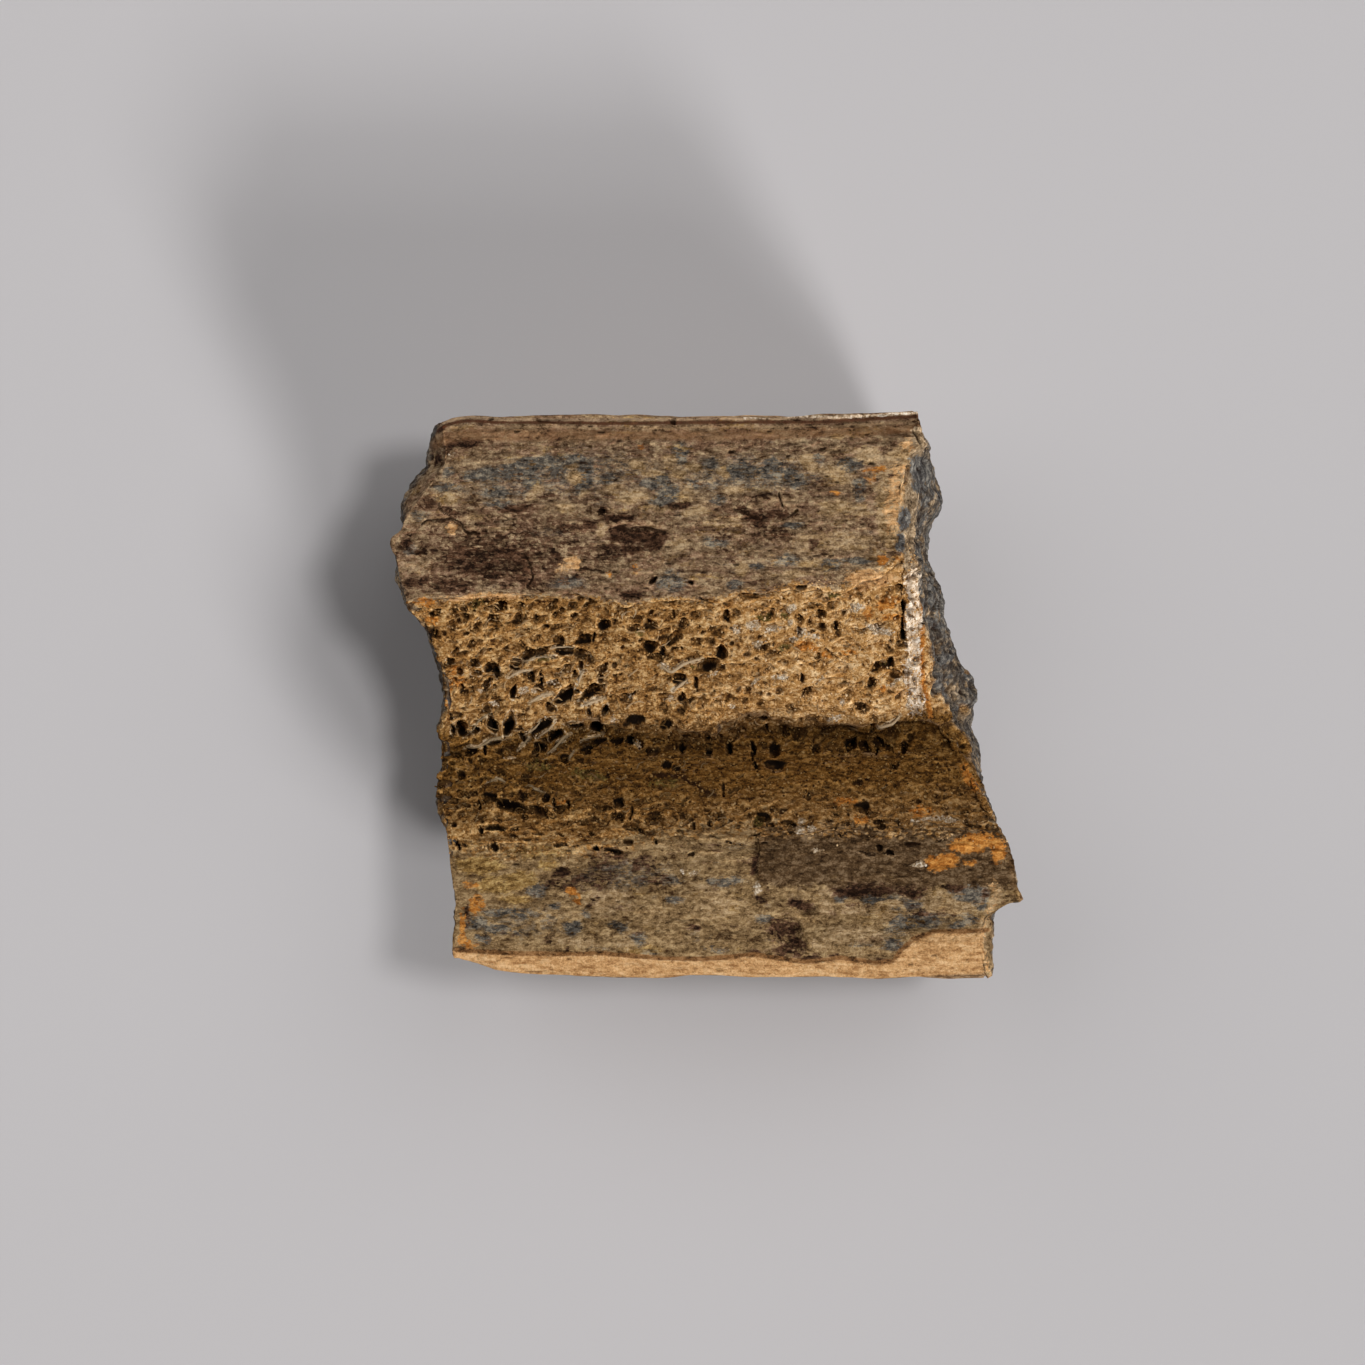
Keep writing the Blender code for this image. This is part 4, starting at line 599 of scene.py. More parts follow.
# Sides of a strut, points of its route, and how far the route is sunk.
STRUT_SIDES = 6
STRUT_STEPS = 9
STRUT_SINK = 0.05
# A height above the whole bone.
ABOVE_BONE = 40.0

# Grid that the fine surface is modelled on, the triangles that it keeps, and the strips that it is cut into,
# from the lower long edge to the upper one, so that none has too many triangles.
CUTS_ALONG = 520
CUTS_ACROSS = 470
CUTS_UP = 84
ROW_SPREAD = ((0.0, 0.0), (0.2, 0.22), (0.78, 0.72), (1.0, 1.0))
KEPT_TRIANGLES = 570000
STRIPS = ("lower_wall", "spongy_middle", "upper_wall")
# Rounds of smoothing that leave the main faces, and the form that crevices and crests are measured from.
BROAD_ROUNDS = 28
CREVICE_ROUNDS = 9
# Grains on the bone: how many in each piece, and their least and largest radius.
GRAIN_COUNT = 7000
PALE_GRAIN_COUNT = 1300
GRAIN_RADII = (0.05, 0.17)

# Colours from dark to light, as reflectance.
BROWN_WALL = ((0.046, 0.021, 0.008), (0.245, 0.155, 0.083), (0.54, 0.385, 0.220))
RED_WALL = ((0.034, 0.013, 0.006), (0.205, 0.112, 0.062), (0.45, 0.29, 0.175))
LOWER_WALL = ((0.048, 0.021, 0.007), (0.262, 0.160, 0.069), (0.52, 0.352, 0.176))
BLUE_WALL = ((0.018, 0.015, 0.012), (0.108, 0.092, 0.075), (0.34, 0.285, 0.205))
GOLD_WALL = ((0.080, 0.036, 0.007), (0.33, 0.190, 0.058), (0.66, 0.44, 0.17))
DARK_WALL = ((0.013, 0.005, 0.002), (0.108, 0.051, 0.026), (0.28, 0.160, 0.095))
YELLOW_WALL = ((0.12, 0.064, 0.022), (0.375, 0.242, 0.118), (0.62, 0.44, 0.255))
SHEET = ((0.018, 0.008, 0.002), (0.098, 0.053, 0.022), (0.26, 0.168, 0.09))
SAND = ((0.038, 0.010, 0.001), (0.36, 0.176, 0.050), (0.75, 0.50, 0.235))
BRIGHT_SAND = ((0.13, 0.045, 0.006), (0.50, 0.262, 0.085), (0.88, 0.62, 0.335))
# Sand of the trough, darkened as painted shade.
TROUGH_SHADE_SAND = ((0.010, 0.003, 0.0004), (0.165, 0.072, 0.013), (0.42, 0.225, 0.065))
# Painted shade around the pores.
FUNNEL_SHADE = ((0.018, 0.006, 0.001), (0.175, 0.076, 0.017), (0.50, 0.270, 0.095))
STREAK = ((0.18, 0.10, 0.038), (0.50, 0.355, 0.20), (0.80, 0.66, 0.48))
TAN = ((0.32, 0.150, 0.052), (0.64, 0.354, 0.147), (0.86, 0.55, 0.28))
BRINK = ((0.030, 0.012, 0.004), (0.22, 0.100, 0.034), (0.40, 0.21, 0.085))
RUST = ((0.14, 0.038, 0.006), (0.47, 0.170, 0.028), (0.76, 0.36, 0.09))
WHITE = ((0.24, 0.145, 0.08), (0.62, 0.46, 0.31), (0.96, 0.84, 0.70))
PALE = ((0.20, 0.12, 0.055), (0.54, 0.39, 0.24), (0.92, 0.77, 0.59))
OLIVE = ((0.030, 0.018, 0.004), (0.125, 0.084, 0.020), (0.27, 0.19, 0.060))
DARK_END = ((0.020, 0.013, 0.009), (0.076, 0.060, 0.047), (0.27, 0.21, 0.145))
BLUE_END = ((0.026, 0.023, 0.022), (0.104, 0.096, 0.089), (0.29, 0.265, 0.225))
CREAM_END = ((0.07, 0.040, 0.020), (0.28, 0.190, 0.106), (0.60, 0.44, 0.28))
SPLIT_SIDE = ((0.09, 0.042, 0.018), (0.36, 0.215, 0.105), (0.66, 0.45, 0.255))
OUTER_SKIN = ((0.026, 0.016, 0.010), (0.15, 0.10, 0.060), (0.42, 0.30, 0.185))
# Painted shade inside pores, pits and cracks.
PORE_SHADE = (0.008, 0.0035, 0.001)
# Painted shade in crevices and in the groove.
CREVICE_SHADE = (0.028, 0.010, 0.003)
# Crests are this many times as bright: partly wear, partly painted highlight.
CREST_WEAR_AND_HIGHLIGHT = (1.75, 1.70, 1.62)
SAND_GRAIN = ((0.11, 0.042, 0.008), (0.38, 0.192, 0.058), (0.55, 0.31, 0.11), (0.70, 0.47, 0.23))
BRIGHT_GRAIN = ((0.24, 0.112, 0.028), (0.53, 0.290, 0.103), (0.70, 0.42, 0.18), (0.86, 0.63, 0.37))
# Grains in the trough, darkened as painted shade.
TROUGH_SHADE_GRAIN = ((0.020, 0.006, 0.001), (0.15, 0.068, 0.013), (0.26, 0.130, 0.032), (0.42, 0.26, 0.10))
PALE_GRAIN = ((0.28, 0.18, 0.09), (0.50, 0.38, 0.26), (0.78, 0.68, 0.54))
STRUT = ((0.24, 0.125, 0.04), (0.42, 0.26, 0.12), (0.56, 0.43, 0.28))
# Struts in the trough, darkened as painted shade.
TROUGH_SHADE_STRUT = ((0.06, 0.028, 0.006), (0.17, 0.092, 0.030), (0.36, 0.27, 0.16))
DULL_SPECULAR = 0.1

# Each wall stain: its mark, its palette, how much darker it gets where it is strongest, and where its
# scattered patches lie in the noise.
WALL_STAINS = (
    ("blue", BLUE_WALL, 0.0, 11.0), ("yellow", YELLOW_WALL, 0.0, 17.0), ("gold", GOLD_WALL, 0.0, 19.0),
    ("dark", DARK_WALL, -0.35, 23.0),
)
# Each later stain: its mark, its palette, and whether it shows thin layers or grains.
LATE_STAINS = (
    ("tan", TAN, "banded"), ("rust", RUST, "grainy"), ("pale", PALE, "grainy"), ("olive", OLIVE, "grainy"),
)
# Stains of the right rim, which show upright fibres.
RIM_STAINS = (("cream", CREAM_END), ("white", WHITE), ("slate", BLUE_END))
# Patches of the snapped ends: their palette, where they lie in the noise, and how high it is there.
END_PATCHES = ((BLUE_END, 51.0, 0.46), (CREAM_END, 57.0, 0.53))
# The mark of the upper long edge holds distances from it from this far outside, over this span.
EDGE_START = 1.0
EDGE_SPAN = 4.0
# Thin layers that show as lines along the upper long edge: their distance from it and half their width in
# millimetres, their colour and their strength.
LAMINAE = (
    (0.12, 0.14, (0.40, 0.27, 0.165), 0.75),
    (0.48, 0.15, (0.085, 0.028, 0.012), 0.90),
    (0.95, 0.10, (0.46, 0.29, 0.15), 0.45),
    (1.75, 0.50, (0.24, 0.115, 0.048), 0.60),
)

# Each soft light: the side it comes from, counted from +X to +Y, and its height, both in degrees, the share
# of the floor's light that it gives, and how wide it looks in degrees.
LIGHTS = (
    (303, 28, 0.130, 12),
    (312, 35, 0.055, 12),
    (14, 68, 0.147, 10),
    (150, 40, 0.075, 60),
    (45, 48, 0.080, 50),
)
WORLD_LIGHT = 0.04
FLOOR_COLOUR = (0.612, 0.590, 0.597)
# How far the floor reaches to each side, in metres.
FLOOR_REACH = 3.0


def smooth_line(points, at):
    """Values at the given places on a smooth line through given (place, value) points."""
    places, values = np.array(points, float).T
    slopes = np.gradient(values, places)
    index = np.clip(np.searchsorted(places, at) - 1, 0, len(places) - 2)
    step = places[index + 1] - places[index]
    t = np.clip((at - places[index]) / step, 0.0, 1.0)
    rise = values[index + 1] - values[index]
    start = slopes[index] * step
    end = slopes[index + 1] * step
    return values[index] + t * start + t**2 * (3 * rise - 2 * start - end) + t**3 * (start + end - 2 * rise)


def broken_line(points, at):
    """Values at the given places on straight runs between given points, as a snapped edge has."""
    places, values = np.array(points, float).T
    return np.interp(at, places, values)


def ease(value, low, high):
    """0 below low, 1 above high and a smooth rise between them."""
    t = np.clip((value - low) / (high - low), 0.0, 1.0)
    return t * t * (3 - 2 * t)


def scrambled(key, seed):
    """A repeatable number from 0 to 1 for each whole number."""
    mixed = (key ^ seed * 2654435761) & 0xFFFFFFFF
    mixed = ((mixed >> 15) ^ mixed) * 739982445 & 0xFFFFFFFF
    mixed = ((mixed >> 15) ^ mixed) * 695872825 & 0xFFFFFFFF
    return ((mixed >> 15) ^ mixed) / 0xFFFFFFFF


def corner_values(cell, seed):
    """A repeatable number from 0 to 1 for each whole-numbered lattice corner."""
    keys = cell * LATTICE_PRIMES
    return scrambled(keys[..., 0] ^ keys[..., 1] ^ keys[..., 2], seed)


def soft_noise(points, seed):
    """Smooth lattice noise from -1 to 1."""
    cell = np.floor(points).astype(np.int64)
    part = points - cell
    part = part * part * (3 - 2 * part)
    keys = [((cell + side) * LATTICE_PRIMES).T for side in (0, 1)]
    weights = [1 - part.T, part.T]
    total = np.zeros(len(points))
    for i, j, k in np.ndindex(2, 2, 2):
        mixed = scrambled(keys[i][0] ^ keys[j][1] ^ keys[k][2], seed)
        total += weights[i][0] * weights[j][1] * weights[k][2] * mixed
    return total * 2 - 1


def layered_noise(points, layers, seed):
    """Layers of soft noise, each half as large and half as high as the one before."""
    total = np.zeros(len(points))
    for layer in range(layers):
        total += soft_noise(points * 2**layer, seed + layer) / 2**layer
    return total


def wall_distance(points, seed):
    """Distance from each point to the nearest wall between rounded cells, in cell sizes."""
    cell = np.floor(points).astype(np.int64)
    nearest = np.full(len(points), 9.0)
    second = np.full(len(points), 9.0)
    for corner in np.ndindex(3, 3, 3):
        other = cell + np.array(corner) - 1
        centre = other + np.stack([corner_values(other, seed + axis) for axis in range(3)], axis=1)
        distance = np.linalg.norm(points - centre, axis=1)
        second = np.minimum(second, np.maximum(nearest, distance))
        nearest = np.minimum(nearest, distance)
    return second - nearest


def oval_reach(x, y, oval):
    """How far each place is from the middle of a turned oval: 0 at its middle and 1 on its rim."""
    along, across, length, width, turn = oval[:5]
    angle = math.radians(turn)
    dx = x - along
    dy = y - across
    ahead = dx * math.cos(angle) + dy * math.sin(angle)
    aside = dy * math.cos(angle) - dx * math.sin(angle)
    return np.hypot(ahead / (length / 2), aside / (width / 2))


def marrow_height(x, y):
    """Height of the smooth marrow side, from its section at three places along the grain."""
    rows = np.array(MARROW_SIDE)
    nearness = 1 - ease(np.abs(y - LIP_PLACE), 0.0, LIP_REACH)
    shift = smooth_line(LIP_PATH, x)
    for size, height in LIP_CRUMBS:
        shift = shift + height * soft_noise(np.stack([x, y, x * 0], axis=1) / size, NOISE_SEED + 140)
    y = y - shift * nearness
    left, middle, right = (smooth_line(rows[:, [0, column]], y) for column in (1, 2, 3))
    to_left = ease(-x, 0.0, STATION_REACH)
    to_right = ease(x, 0.0, STATION_REACH)
    return middle + (left - middle) * to_left + (right - middle) * to_right


def near_lip(x, y):
    """1 along the lip above the trough, 0 away from it."""
    return 1 - ease(np.abs(y - LIP_PLACE - smooth_line(LIP_PATH, x)), 0.5, 2.4)


def spongy_share(x, y):
    """1 in the spongy slope and the trough, 0 on the dense walls on both sides of them."""
    length, width, reach = SPONGY_EDGE_WAVE
    ragged = reach * soft_noise(np.stack([x / length, y / width, x * 0], axis=1), NOISE_SEED)
    below = 1 - ease(y - broken_line(SPONGY_EDGE, x) - ragged, -0.15, 0.25)
    above = ease(y - SPONGY_LOWER_EDGE - 2 * ragged, -0.6, 0.8)
    return below * above


def ridged_share(x, y):
    """1 on the ridged porous band beyond the trough, less to its right."""
    band = ease(-y, *RIDGED_START) * (1 - ease(-y, *RIDGED_END))
    return band * (1 - 0.5 * ease(x, 0.0, 8.0))


def segment_distance(x, y, route):
    """Distance in plan from each place to a route of straight runs."""
    nearest = np.full(len(x), 99.0)
    for start, end in zip(route, route[1:]):
        run = np.subtract(end, start)
        share = np.clip(((x - start[0]) * run[0] + (y - start[1]) * run[1]) / (run @ run), 0, 1)
        away = np.hypot(x - start[0] - share * run[0], y - start[1] - share * run[1])
        nearest = np.minimum(nearest, away)
    return nearest


def over_ovals(x, y, ovals, limit, value):
    """Greatest value(oval, reach) at each place, up to limit times as far as an oval's rim."""
    greatest = np.zeros(len(x))
    for oval in ovals:
        half = limit * max(oval[2], oval[3]) / 2
        near = np.flatnonzero((np.abs(x - oval[0]) < half) & (np.abs(y - oval[1]) < half))
        reach = oval_reach(x[near], y[near], oval)
        greatest[near] = np.maximum(greatest[near], value(oval, reach))
    return greatest


def pore_shape(pore, reach):
    """Depth of one marrow pore: a flat floor and steep rounded walls."""
    return min(PORE_DEPTH, PORE_STEEPNESS * pore[3]) * (1 - ease(reach, *PORE_WALL))


def pore_depth(x, y):
    """Depth of the marrow pores. Those that dirt has filled are shallow."""
    filled = over_ovals(x, y, FILLED_PORES, PORE_WALL[1], pore_shape)
    return np.maximum(over_ovals(x, y, PORES, PORE_WALL[1], pore_shape), FILLED_SHARE * filled)


def on_sheet(x, y, places):
    """1 on the dark outer sheet, 0 off it."""
    edge_wave = 0.5 * soft_noise(places / (2.2, 2.2, 50.0), NOISE_SEED + 5)
    share = ease(x + edge_wave, SHEET_LEFT, SHEET_LEFT + 0.5)
    share *= ease(y + edge_wave, SHEET_LOWER, SHEET_LOWER + 1.6)
    return share * (1 - ease(y + edge_wave, SHEET_UPPER, SHEET_UPPER + 1.6))


def wandered(x, y):
    """Places in plan, shifted so that an oval measured there gets an uneven outline."""
    places = np.stack([x, y, x * 0], axis=1) / PORE_WAVE
    return (
        x + PORE_WANDER * soft_noise(places, NOISE_SEED + 120),
        y + PORE_WANDER * soft_noise(places, NOISE_SEED + 124),
    )


def marrow_relief(x, y, z):
    """Rise of the marrow side over its smooth form: ledge, sheet, hollows, lumps, pores and groove."""
    places = np.stack([x, y, z], axis=1)
    spongy = spongy_share(x, y)
    rise = -SPONGY_DROP * spongy
    rise += MARROW_LUMP_HEIGHT * layered_noise(places / MARROW_LUMP_SIZE, 2, NOISE_SEED + 3)
    for hollow in HOLLOWS:
        rise -= hollow[5] * (1 - ease(oval_reach(x, y, hollow), 0.25, 1.2))
    rise += SHEET_HEIGHT * on_sheet(x, y, places)
    size, height = LIP_ROUGHNESS
    rise += height * layered_noise(places / size, 2, NOISE_SEED + 142) * near_lip(x, y)
    ridges = layered_noise(places / (RIDGE_LENGTH, RIDGE_WIDTH, 50.0), 2, NOISE_SEED + 8)
    rise += RIDGE_HEIGHT * ridges * ridged_share(x, y)
    length, width, turn, height = SLOPE_RIDGES
    ahead = x * math.cos(math.radians(turn)) + y * math.sin(math.radians(turn))
    aside = y * math.cos(math.radians(turn)) - x * math.sin(math.radians(turn))
    ridges = soft_noise(np.stack([ahead / length, aside / width, x * 0], axis=1), NOISE_SEED + 9)
    rise += height * ridges * spongy * ease(y, -7.0, -4.0) * (1 - 0.6 * ease(x, 0.0, 8.0))
    size, stretch, depth = SPONGY_RELIEF
    cells = np.stack([ahead / stretch, aside, z], axis=1) / size
    rise -= depth * spongy * ease(wall_distance(cells, NOISE_SEED + 20), 0.12, 0.5)
    rise -= pore_depth(*wandered(x, y))
    rise -= GROOVE_DEPTH * (1 - ease(segment_distance(x, y, GROOVE), 0.0, GROOVE_WIDTH))
    return rise


def end_relief(x, y, z):
    """Rise of the two snapped ends: lumps, grit and the pores of the spongy middle."""
    places = np.stack([x, y, z], axis=1)
    rise = END_LUMP_HEIGHT * layered_noise(places / END_LUMP_SIZE, 2, NOISE_SEED + 30)
    rise += END_GRIT_HEIGHT * soft_noise(places / END_GRIT_SIZE, NOISE_SEED + 33)
    inner = (1 - ease(np.abs(y), *END_CORE_REACH)) * ease(z, *END_CORE_FOOT)
    size, depth = END_CELL
    return rise - depth * inner * ease(wall_distance(places / size, NOISE_SEED + 36), 0.15, 0.5)


def side_relief(x, y, z):
    """Rise of the long split sides: thin ledges that run with the grain."""
    length, height, shift, swell = SIDE_WAVE
    wave = layered_noise(np.stack([x / length, y * 0, z / height], axis=1), 2, NOISE_SEED + 40)
    level = (z + shift * wave) / SIDE_LEDGE_THICKNESS
    lower = np.stack([np.floor(level), np.sign(y), y * 0], axis=1).astype(np.int64)
    rising = ease(level - np.floor(level), 0.5, 1.0)
    ledges = corner_values(lower, NOISE_SEED) * (1 - rising)
    ledges += corner_values(lower + (1, 0, 0), NOISE_SEED) * rising
    length, thickness, height = SIDE_GRAIN
    grain = soft_noise(np.stack([x / length, y * 0, z / thickness], axis=1), NOISE_SEED + 44)
    return SIDE_LEDGE_HEIGHT * (ledges - 0.5) + height * grain + swell * wave


def underside_relief(x, y, z):
    """Rise of the rounded outer surface: low swells and faint grain."""
    places = np.stack([x, y, z], axis=1) / UNDERSIDE_SWELL_SIZE
    return UNDERSIDE_RELIEF * layered_noise(places, 2, NOISE_SEED + 50)


def outer_curve(edge, angle):
    """Point of the rounded outer surface at an angle that runs from the long edge to the foot."""
    across = edge * np.abs(np.cos(angle)) ** (2 / OUTER_ROUNDNESS) * np.sign(np.cos(angle))
    height = OUTER_CENTRE_HEIGHT - OUTER_DEPTH * np.abs(np.sin(angle)) ** (2 / OUTER_ROUNDNESS)
    return np.stack([across, height], axis=1)


def side_curve(edge, edge_height, share):
    """Point of a long side, from the corner above the foot (share 0) up to the long edge (share 1)."""
    curved = np.clip(share / (1 - STRAIGHT_SHARE), 0.0, 1.0)
    straight = np.clip((share - 1 + STRAIGHT_SHARE) / STRAIGHT_SHARE, 0.0, 1.0)
    point = outer_curve(edge, CORNER_ANGLE * (1 - curved))
    point[:, 1] += (edge_height - OUTER_CENTRE_HEIGHT) * straight
    return point


def section_point(x, across, up):
    """Place in the section for shares 0 to 1 across and up, blended from the section's four sides."""
    upper_edge = smooth_line(UPPER_EDGE, x)
    lower_edge = smooth_line(LOWER_EDGE, x)
    upper_height = marrow_height(x, upper_edge)
    lower_height = marrow_height(x, lower_edge)
    top_across = lower_edge + (upper_edge - lower_edge) * across
    top = np.stack([top_across, marrow_height(x, top_across)], axis=1)
    angle = math.pi - CORNER_ANGLE - (math.pi - 2 * CORNER_ANGLE) * across
    half_width = (upper_edge - lower_edge) / 2
    bottom = outer_curve(half_width, angle)
    lower_side = side_curve(lower_edge, lower_height, up)
    upper_side = side_curve(upper_edge, upper_height, up)
    a = across[:, None]
    u = up[:, None]
    ruled = (1 - u) * bottom + u * top + (1 - a) * lower_side + a * upper_side
    foot_lower = outer_curve(lower_edge, np.full(len(x), CORNER_ANGLE))
    foot_upper = outer_curve(upper_edge, np.full(len(x), CORNER_ANGLE))
    rim_lower = np.stack([lower_edge, lower_height], axis=1)
    rim_upper = np.stack([upper_edge, upper_height], axis=1)
    corners = (1 - u) * ((1 - a) * foot_lower + a * foot_upper) + u * ((1 - a) * rim_lower + a * rim_upper)
    return ruled - corners


def end_places(y, depth):
    """Where the left and the right end stand along the grain, at a place across it and a depth."""
    left = broken_line(LEFT_OUTLINE, y)
    left += broken_line(LEFT_FRINGE, y) * (1 - smooth_line(LEFT_SLOPE, depth))
    left += smooth_line(LEFT_UNDERCUT, depth)
    rim = broken_line(RIGHT_RIM, y)
    right = rim + (broken_line(RIGHT_FOOT, y) - rim) * smooth_line(RIGHT_SLOPE, depth)
    return left, right


def smooth_form(cube):
    """Moves the points of a cube from -1 to 1 onto the fragment's smooth form."""
    along, across, up = ((cube + 1) / 2).T
    across = broken_line(ROW_SPREAD, across)
    x = -STATION_REACH + 2 * STATION_REACH * along
    for _ in range(3):
        y, z = section_point(x, across, up).T
        depth = np.maximum(marrow_height(x, y) - z, 0.0)
        left, right = end_places(y, depth)
        x = left + (right - left) * along
    return np.stack([x, y, z], axis=1)


def facing(normals):
    """Shares of the marrow side, the underside, the ends and the long sides, from the normals."""
    lean = normals**2
    upward = np.where(normals[:, 2] > 0, lean[:, 2], 0.0)
    return upward, lean[:, 2] - upward, lean[:, 0], lean[:, 1]


def rise_of(points, normals, faces):
    """Rise along the normal at each point, blended from those of the faces that the normal leans to."""
    rise = np.zeros(len(points))
    for share, face in zip(facing(normals), faces):
        leaning = share > LEAST_SHARE
        rise[leaning] += share[leaning] * face(*points[leaning].T)
    return rise


def rim_shape(pore, reach):
    """1 on a ring just outside a pore's rim."""
    start, crest, end = PORE_RIM
    return ease(reach, start, crest) * (1 - ease(reach, crest, end))


def pore_rims(x, y):
    """1 on the raised rims around the marrow pores, 0 inside the pores and away from them."""
    inside = over_ovals(x, y, PORES, PORE_INSIDE[1], inside_shape)
    return over_ovals(x, y, PORES, PORE_RIM[2], rim_shape) * (1 - inside)


def inside_shape(oval, reach):
    """1 inside an oval."""
    return 1 - ease(reach, *PORE_INSIDE)


def darkness_shape(pore, reach):
    """How dark it is in a pore: light still reaches the bottom of a narrow one."""
    return (0.50 + 0.50 * ease(pore[3], 0.30, 0.75)) * inside_shape(pore, reach)


def funnel_shape(oval, reach):
    """1 near the middle of an oval, falling off to its rim."""
    return 1 - ease(reach, 0.5, 1.0)


def pore_funnels(x, y):
    """1 at the rim of each marrow pore, falling off to 0 around it."""
    wider = [(*pore[:2], pore[2] + 2 * FUNNEL_REACH, pore[3] + 2 * FUNNEL_REACH, pore[4]) for pore in PORES]
    return over_ovals(x, y, wider, 1.0, funnel_shape)


def crack_depth(x, y):
    """Depth of the listed cracks."""
    depth = np.zeros(len(x))
    for width, deep, route in CRACKS:
        away = segment_distance(x, y, route)
        depth = np.maximum(depth, CRACK_SHARE * deep * (1 - ease(away, width * 0.2, width * 0.8)))
    return depth


def pit_depth(u, v, pits, seed):
    """Depth of scattered oval pits on a face with the given two coordinates."""
    spacing, stretch, turn, chance, smallest, largest, steepness = pits
    angle = math.radians(turn)
    along = (u * math.cos(angle) + v * math.sin(angle)) / (spacing * stretch)
    across = (v * math.cos(angle) - u * math.sin(angle)) / spacing
    cell = np.floor(np.stack([along, across, along * 0], axis=1)).astype(np.int64)
    depth = np.zeros(len(u))
    for row, column in np.ndindex(3, 3):
        other = cell + (row - 1, column - 1, 0)
        jitter_along, jitter_across, size, present = (corner_values(other, seed + k) for k in range(4))
        radius = smallest + (largest - smallest) * size**2
        away = spacing * np.hypot(along - other[:, 0] - jitter_along, across - other[:, 1] - jitter_across)
        shape = 1 - ease(away / radius, 0.45, 1.1)
        depth = np.maximum(depth, np.where(present < chance, steepness * radius * shape, 0.0))
    return depth


def spongy_pits(x, y):
    """Depth of the small pits of the spongy slope and the trough, which are fewer to the right."""
    large = pit_depth(x, y, SLOPE_PITS, NOISE_SEED + 90) * (1 - 0.6 * ease(x, -1.0, 6.0))
    slope = np.maximum(large, pit_depth(x, y, FINE_PITS, NOISE_SEED + 95))
    below_lip = 1 - ease(y, -3.2, -2.0)
    trough = pit_depth(x, y, TROUGH_PITS, NOISE_SEED + 100)
    return slope * (1 - below_lip) + np.maximum(trough, slope * 0.5) * below_lip


def flake_edges(points):
    """Rise of the thin layers that flaked off the dense walls: flat sheets with low steps between them."""
    length, width, closeness, height = FLAKE_LAYERS
    level = layered_noise(points / (length, width, width), 3, NOISE_SEED + 130) * closeness
    part = level - np.floor(level)
    return height * (np.floor(level) + ease(part, 0.82, 1.0))


def fine_marrow(x, y, z):
    """Finest relief of the marrow side: fibres, flakes, cracks, small cells, pits, rims and grit."""
    points = np.stack([x, y, z], axis=1)
    spongy = spongy_share(x, y)
    wavy = wandered(x, y)
    length, width, height = WALL_FIBRE
    dense = height * layered_noise(points / (length, width, width), 2, NOISE_SEED + 60)
    dense += WALL_GRIT[1] * soft_noise(points / WALL_GRIT[0], NOISE_SEED + 61)
    dense += flake_edges(points)
    dense -= crack_depth(*wavy) + pit_depth(x, y, WALL_PITS, NOISE_SEED + 105)
    cells = ease(wall_distance(points / SPONGY_CELL[0], NOISE_SEED + 62), 0.2, 0.55)
    patches = ease(soft_noise(points / SPONGY_PATCH_SIZE, NOISE_SEED + 66), -0.5, 0.4)
    open_bone = -SPONGY_CELL[1] * cells * patches - spongy_pits(*wavy)
    open_bone += SPONGY_GRIT[1] * layered_noise(points / SPONGY_GRIT[0], 2, NOISE_SEED + 67)
    open_bone += RIM_LIFT * pore_rims(*wavy) - FUNNEL_DEPTH * pore_funnels(*wavy)
    dense *= 1 - 0.45 * ease(-y, 15.0, 18.0)
    return dense * (1 - spongy) + open_bone * spongy


def fine_end(x, y, z):
    """Finest relief of the snapped ends: grit and pits."""
    points = np.stack([x, y, z], axis=1)
    rough = END_FINE_GRIT[1] * layered_noise(points / END_FINE_GRIT[0], 2, NOISE_SEED + 70)
    return rough - pit_depth(y, z, END_PITS, NOISE_SEED + 110)


def fine_side(x, y, z):
    """Finest relief of the long split sides: fibres."""
    length, width, height = SIDE_FIBRE
    points = np.stack([x / length, y / width, z / width], axis=1)
    return height * layered_noise(points, 2, NOISE_SEED + 74)


def fine_underside(x, y, z):
    """Finest relief of the underside: faint grain and scattered pits."""
    length, width, height = UNDERSIDE_FIBRE
    points = np.stack([x / length, y / width, z / width], axis=1)
    grain = height * layered_noise(points, 2, NOISE_SEED + 78)
    return grain - pit_depth(x, y, UNDERSIDE_PITS, NOISE_SEED + 115)


# The relief of each face, in the order that facing() gives their shares.
MAIN_RELIEF = (marrow_relief, underside_relief, end_relief, side_relief)
FINE_RELIEF = (fine_marrow, fine_underside, fine_end, fine_side)


def box_grid(cuts):
    """Points of an evenly gridded cube from -1 to 1, and its outward faces of four corners."""
    steps = np.array(cuts)
    place = np.indices(steps + 1)
    on_skin = ((place % steps[:, None, None, None]) == 0).any(axis=0)
    number = np.cumsum(on_skin.ravel()).reshape(on_skin.shape) - 1
    points = (place / steps[:, None, None, None] * 2 - 1)[:, on_skin].T
    faces = []
    for axis in range(3):
        for side in (0, -1):
            sheet = np.take(number, side, axis=axis)
            quads = np.stack([sheet[:-1, :-1], sheet[1:, :-1], sheet[1:, 1:], sheet[:-1, 1:]], axis=-1)
            outward = (side == -1) != (axis == 1)
            faces.append(quads.reshape(-1, 4) if outward else quads.reshape(-1, 4)[:, ::-1])
    return points, np.concatenate(faces)


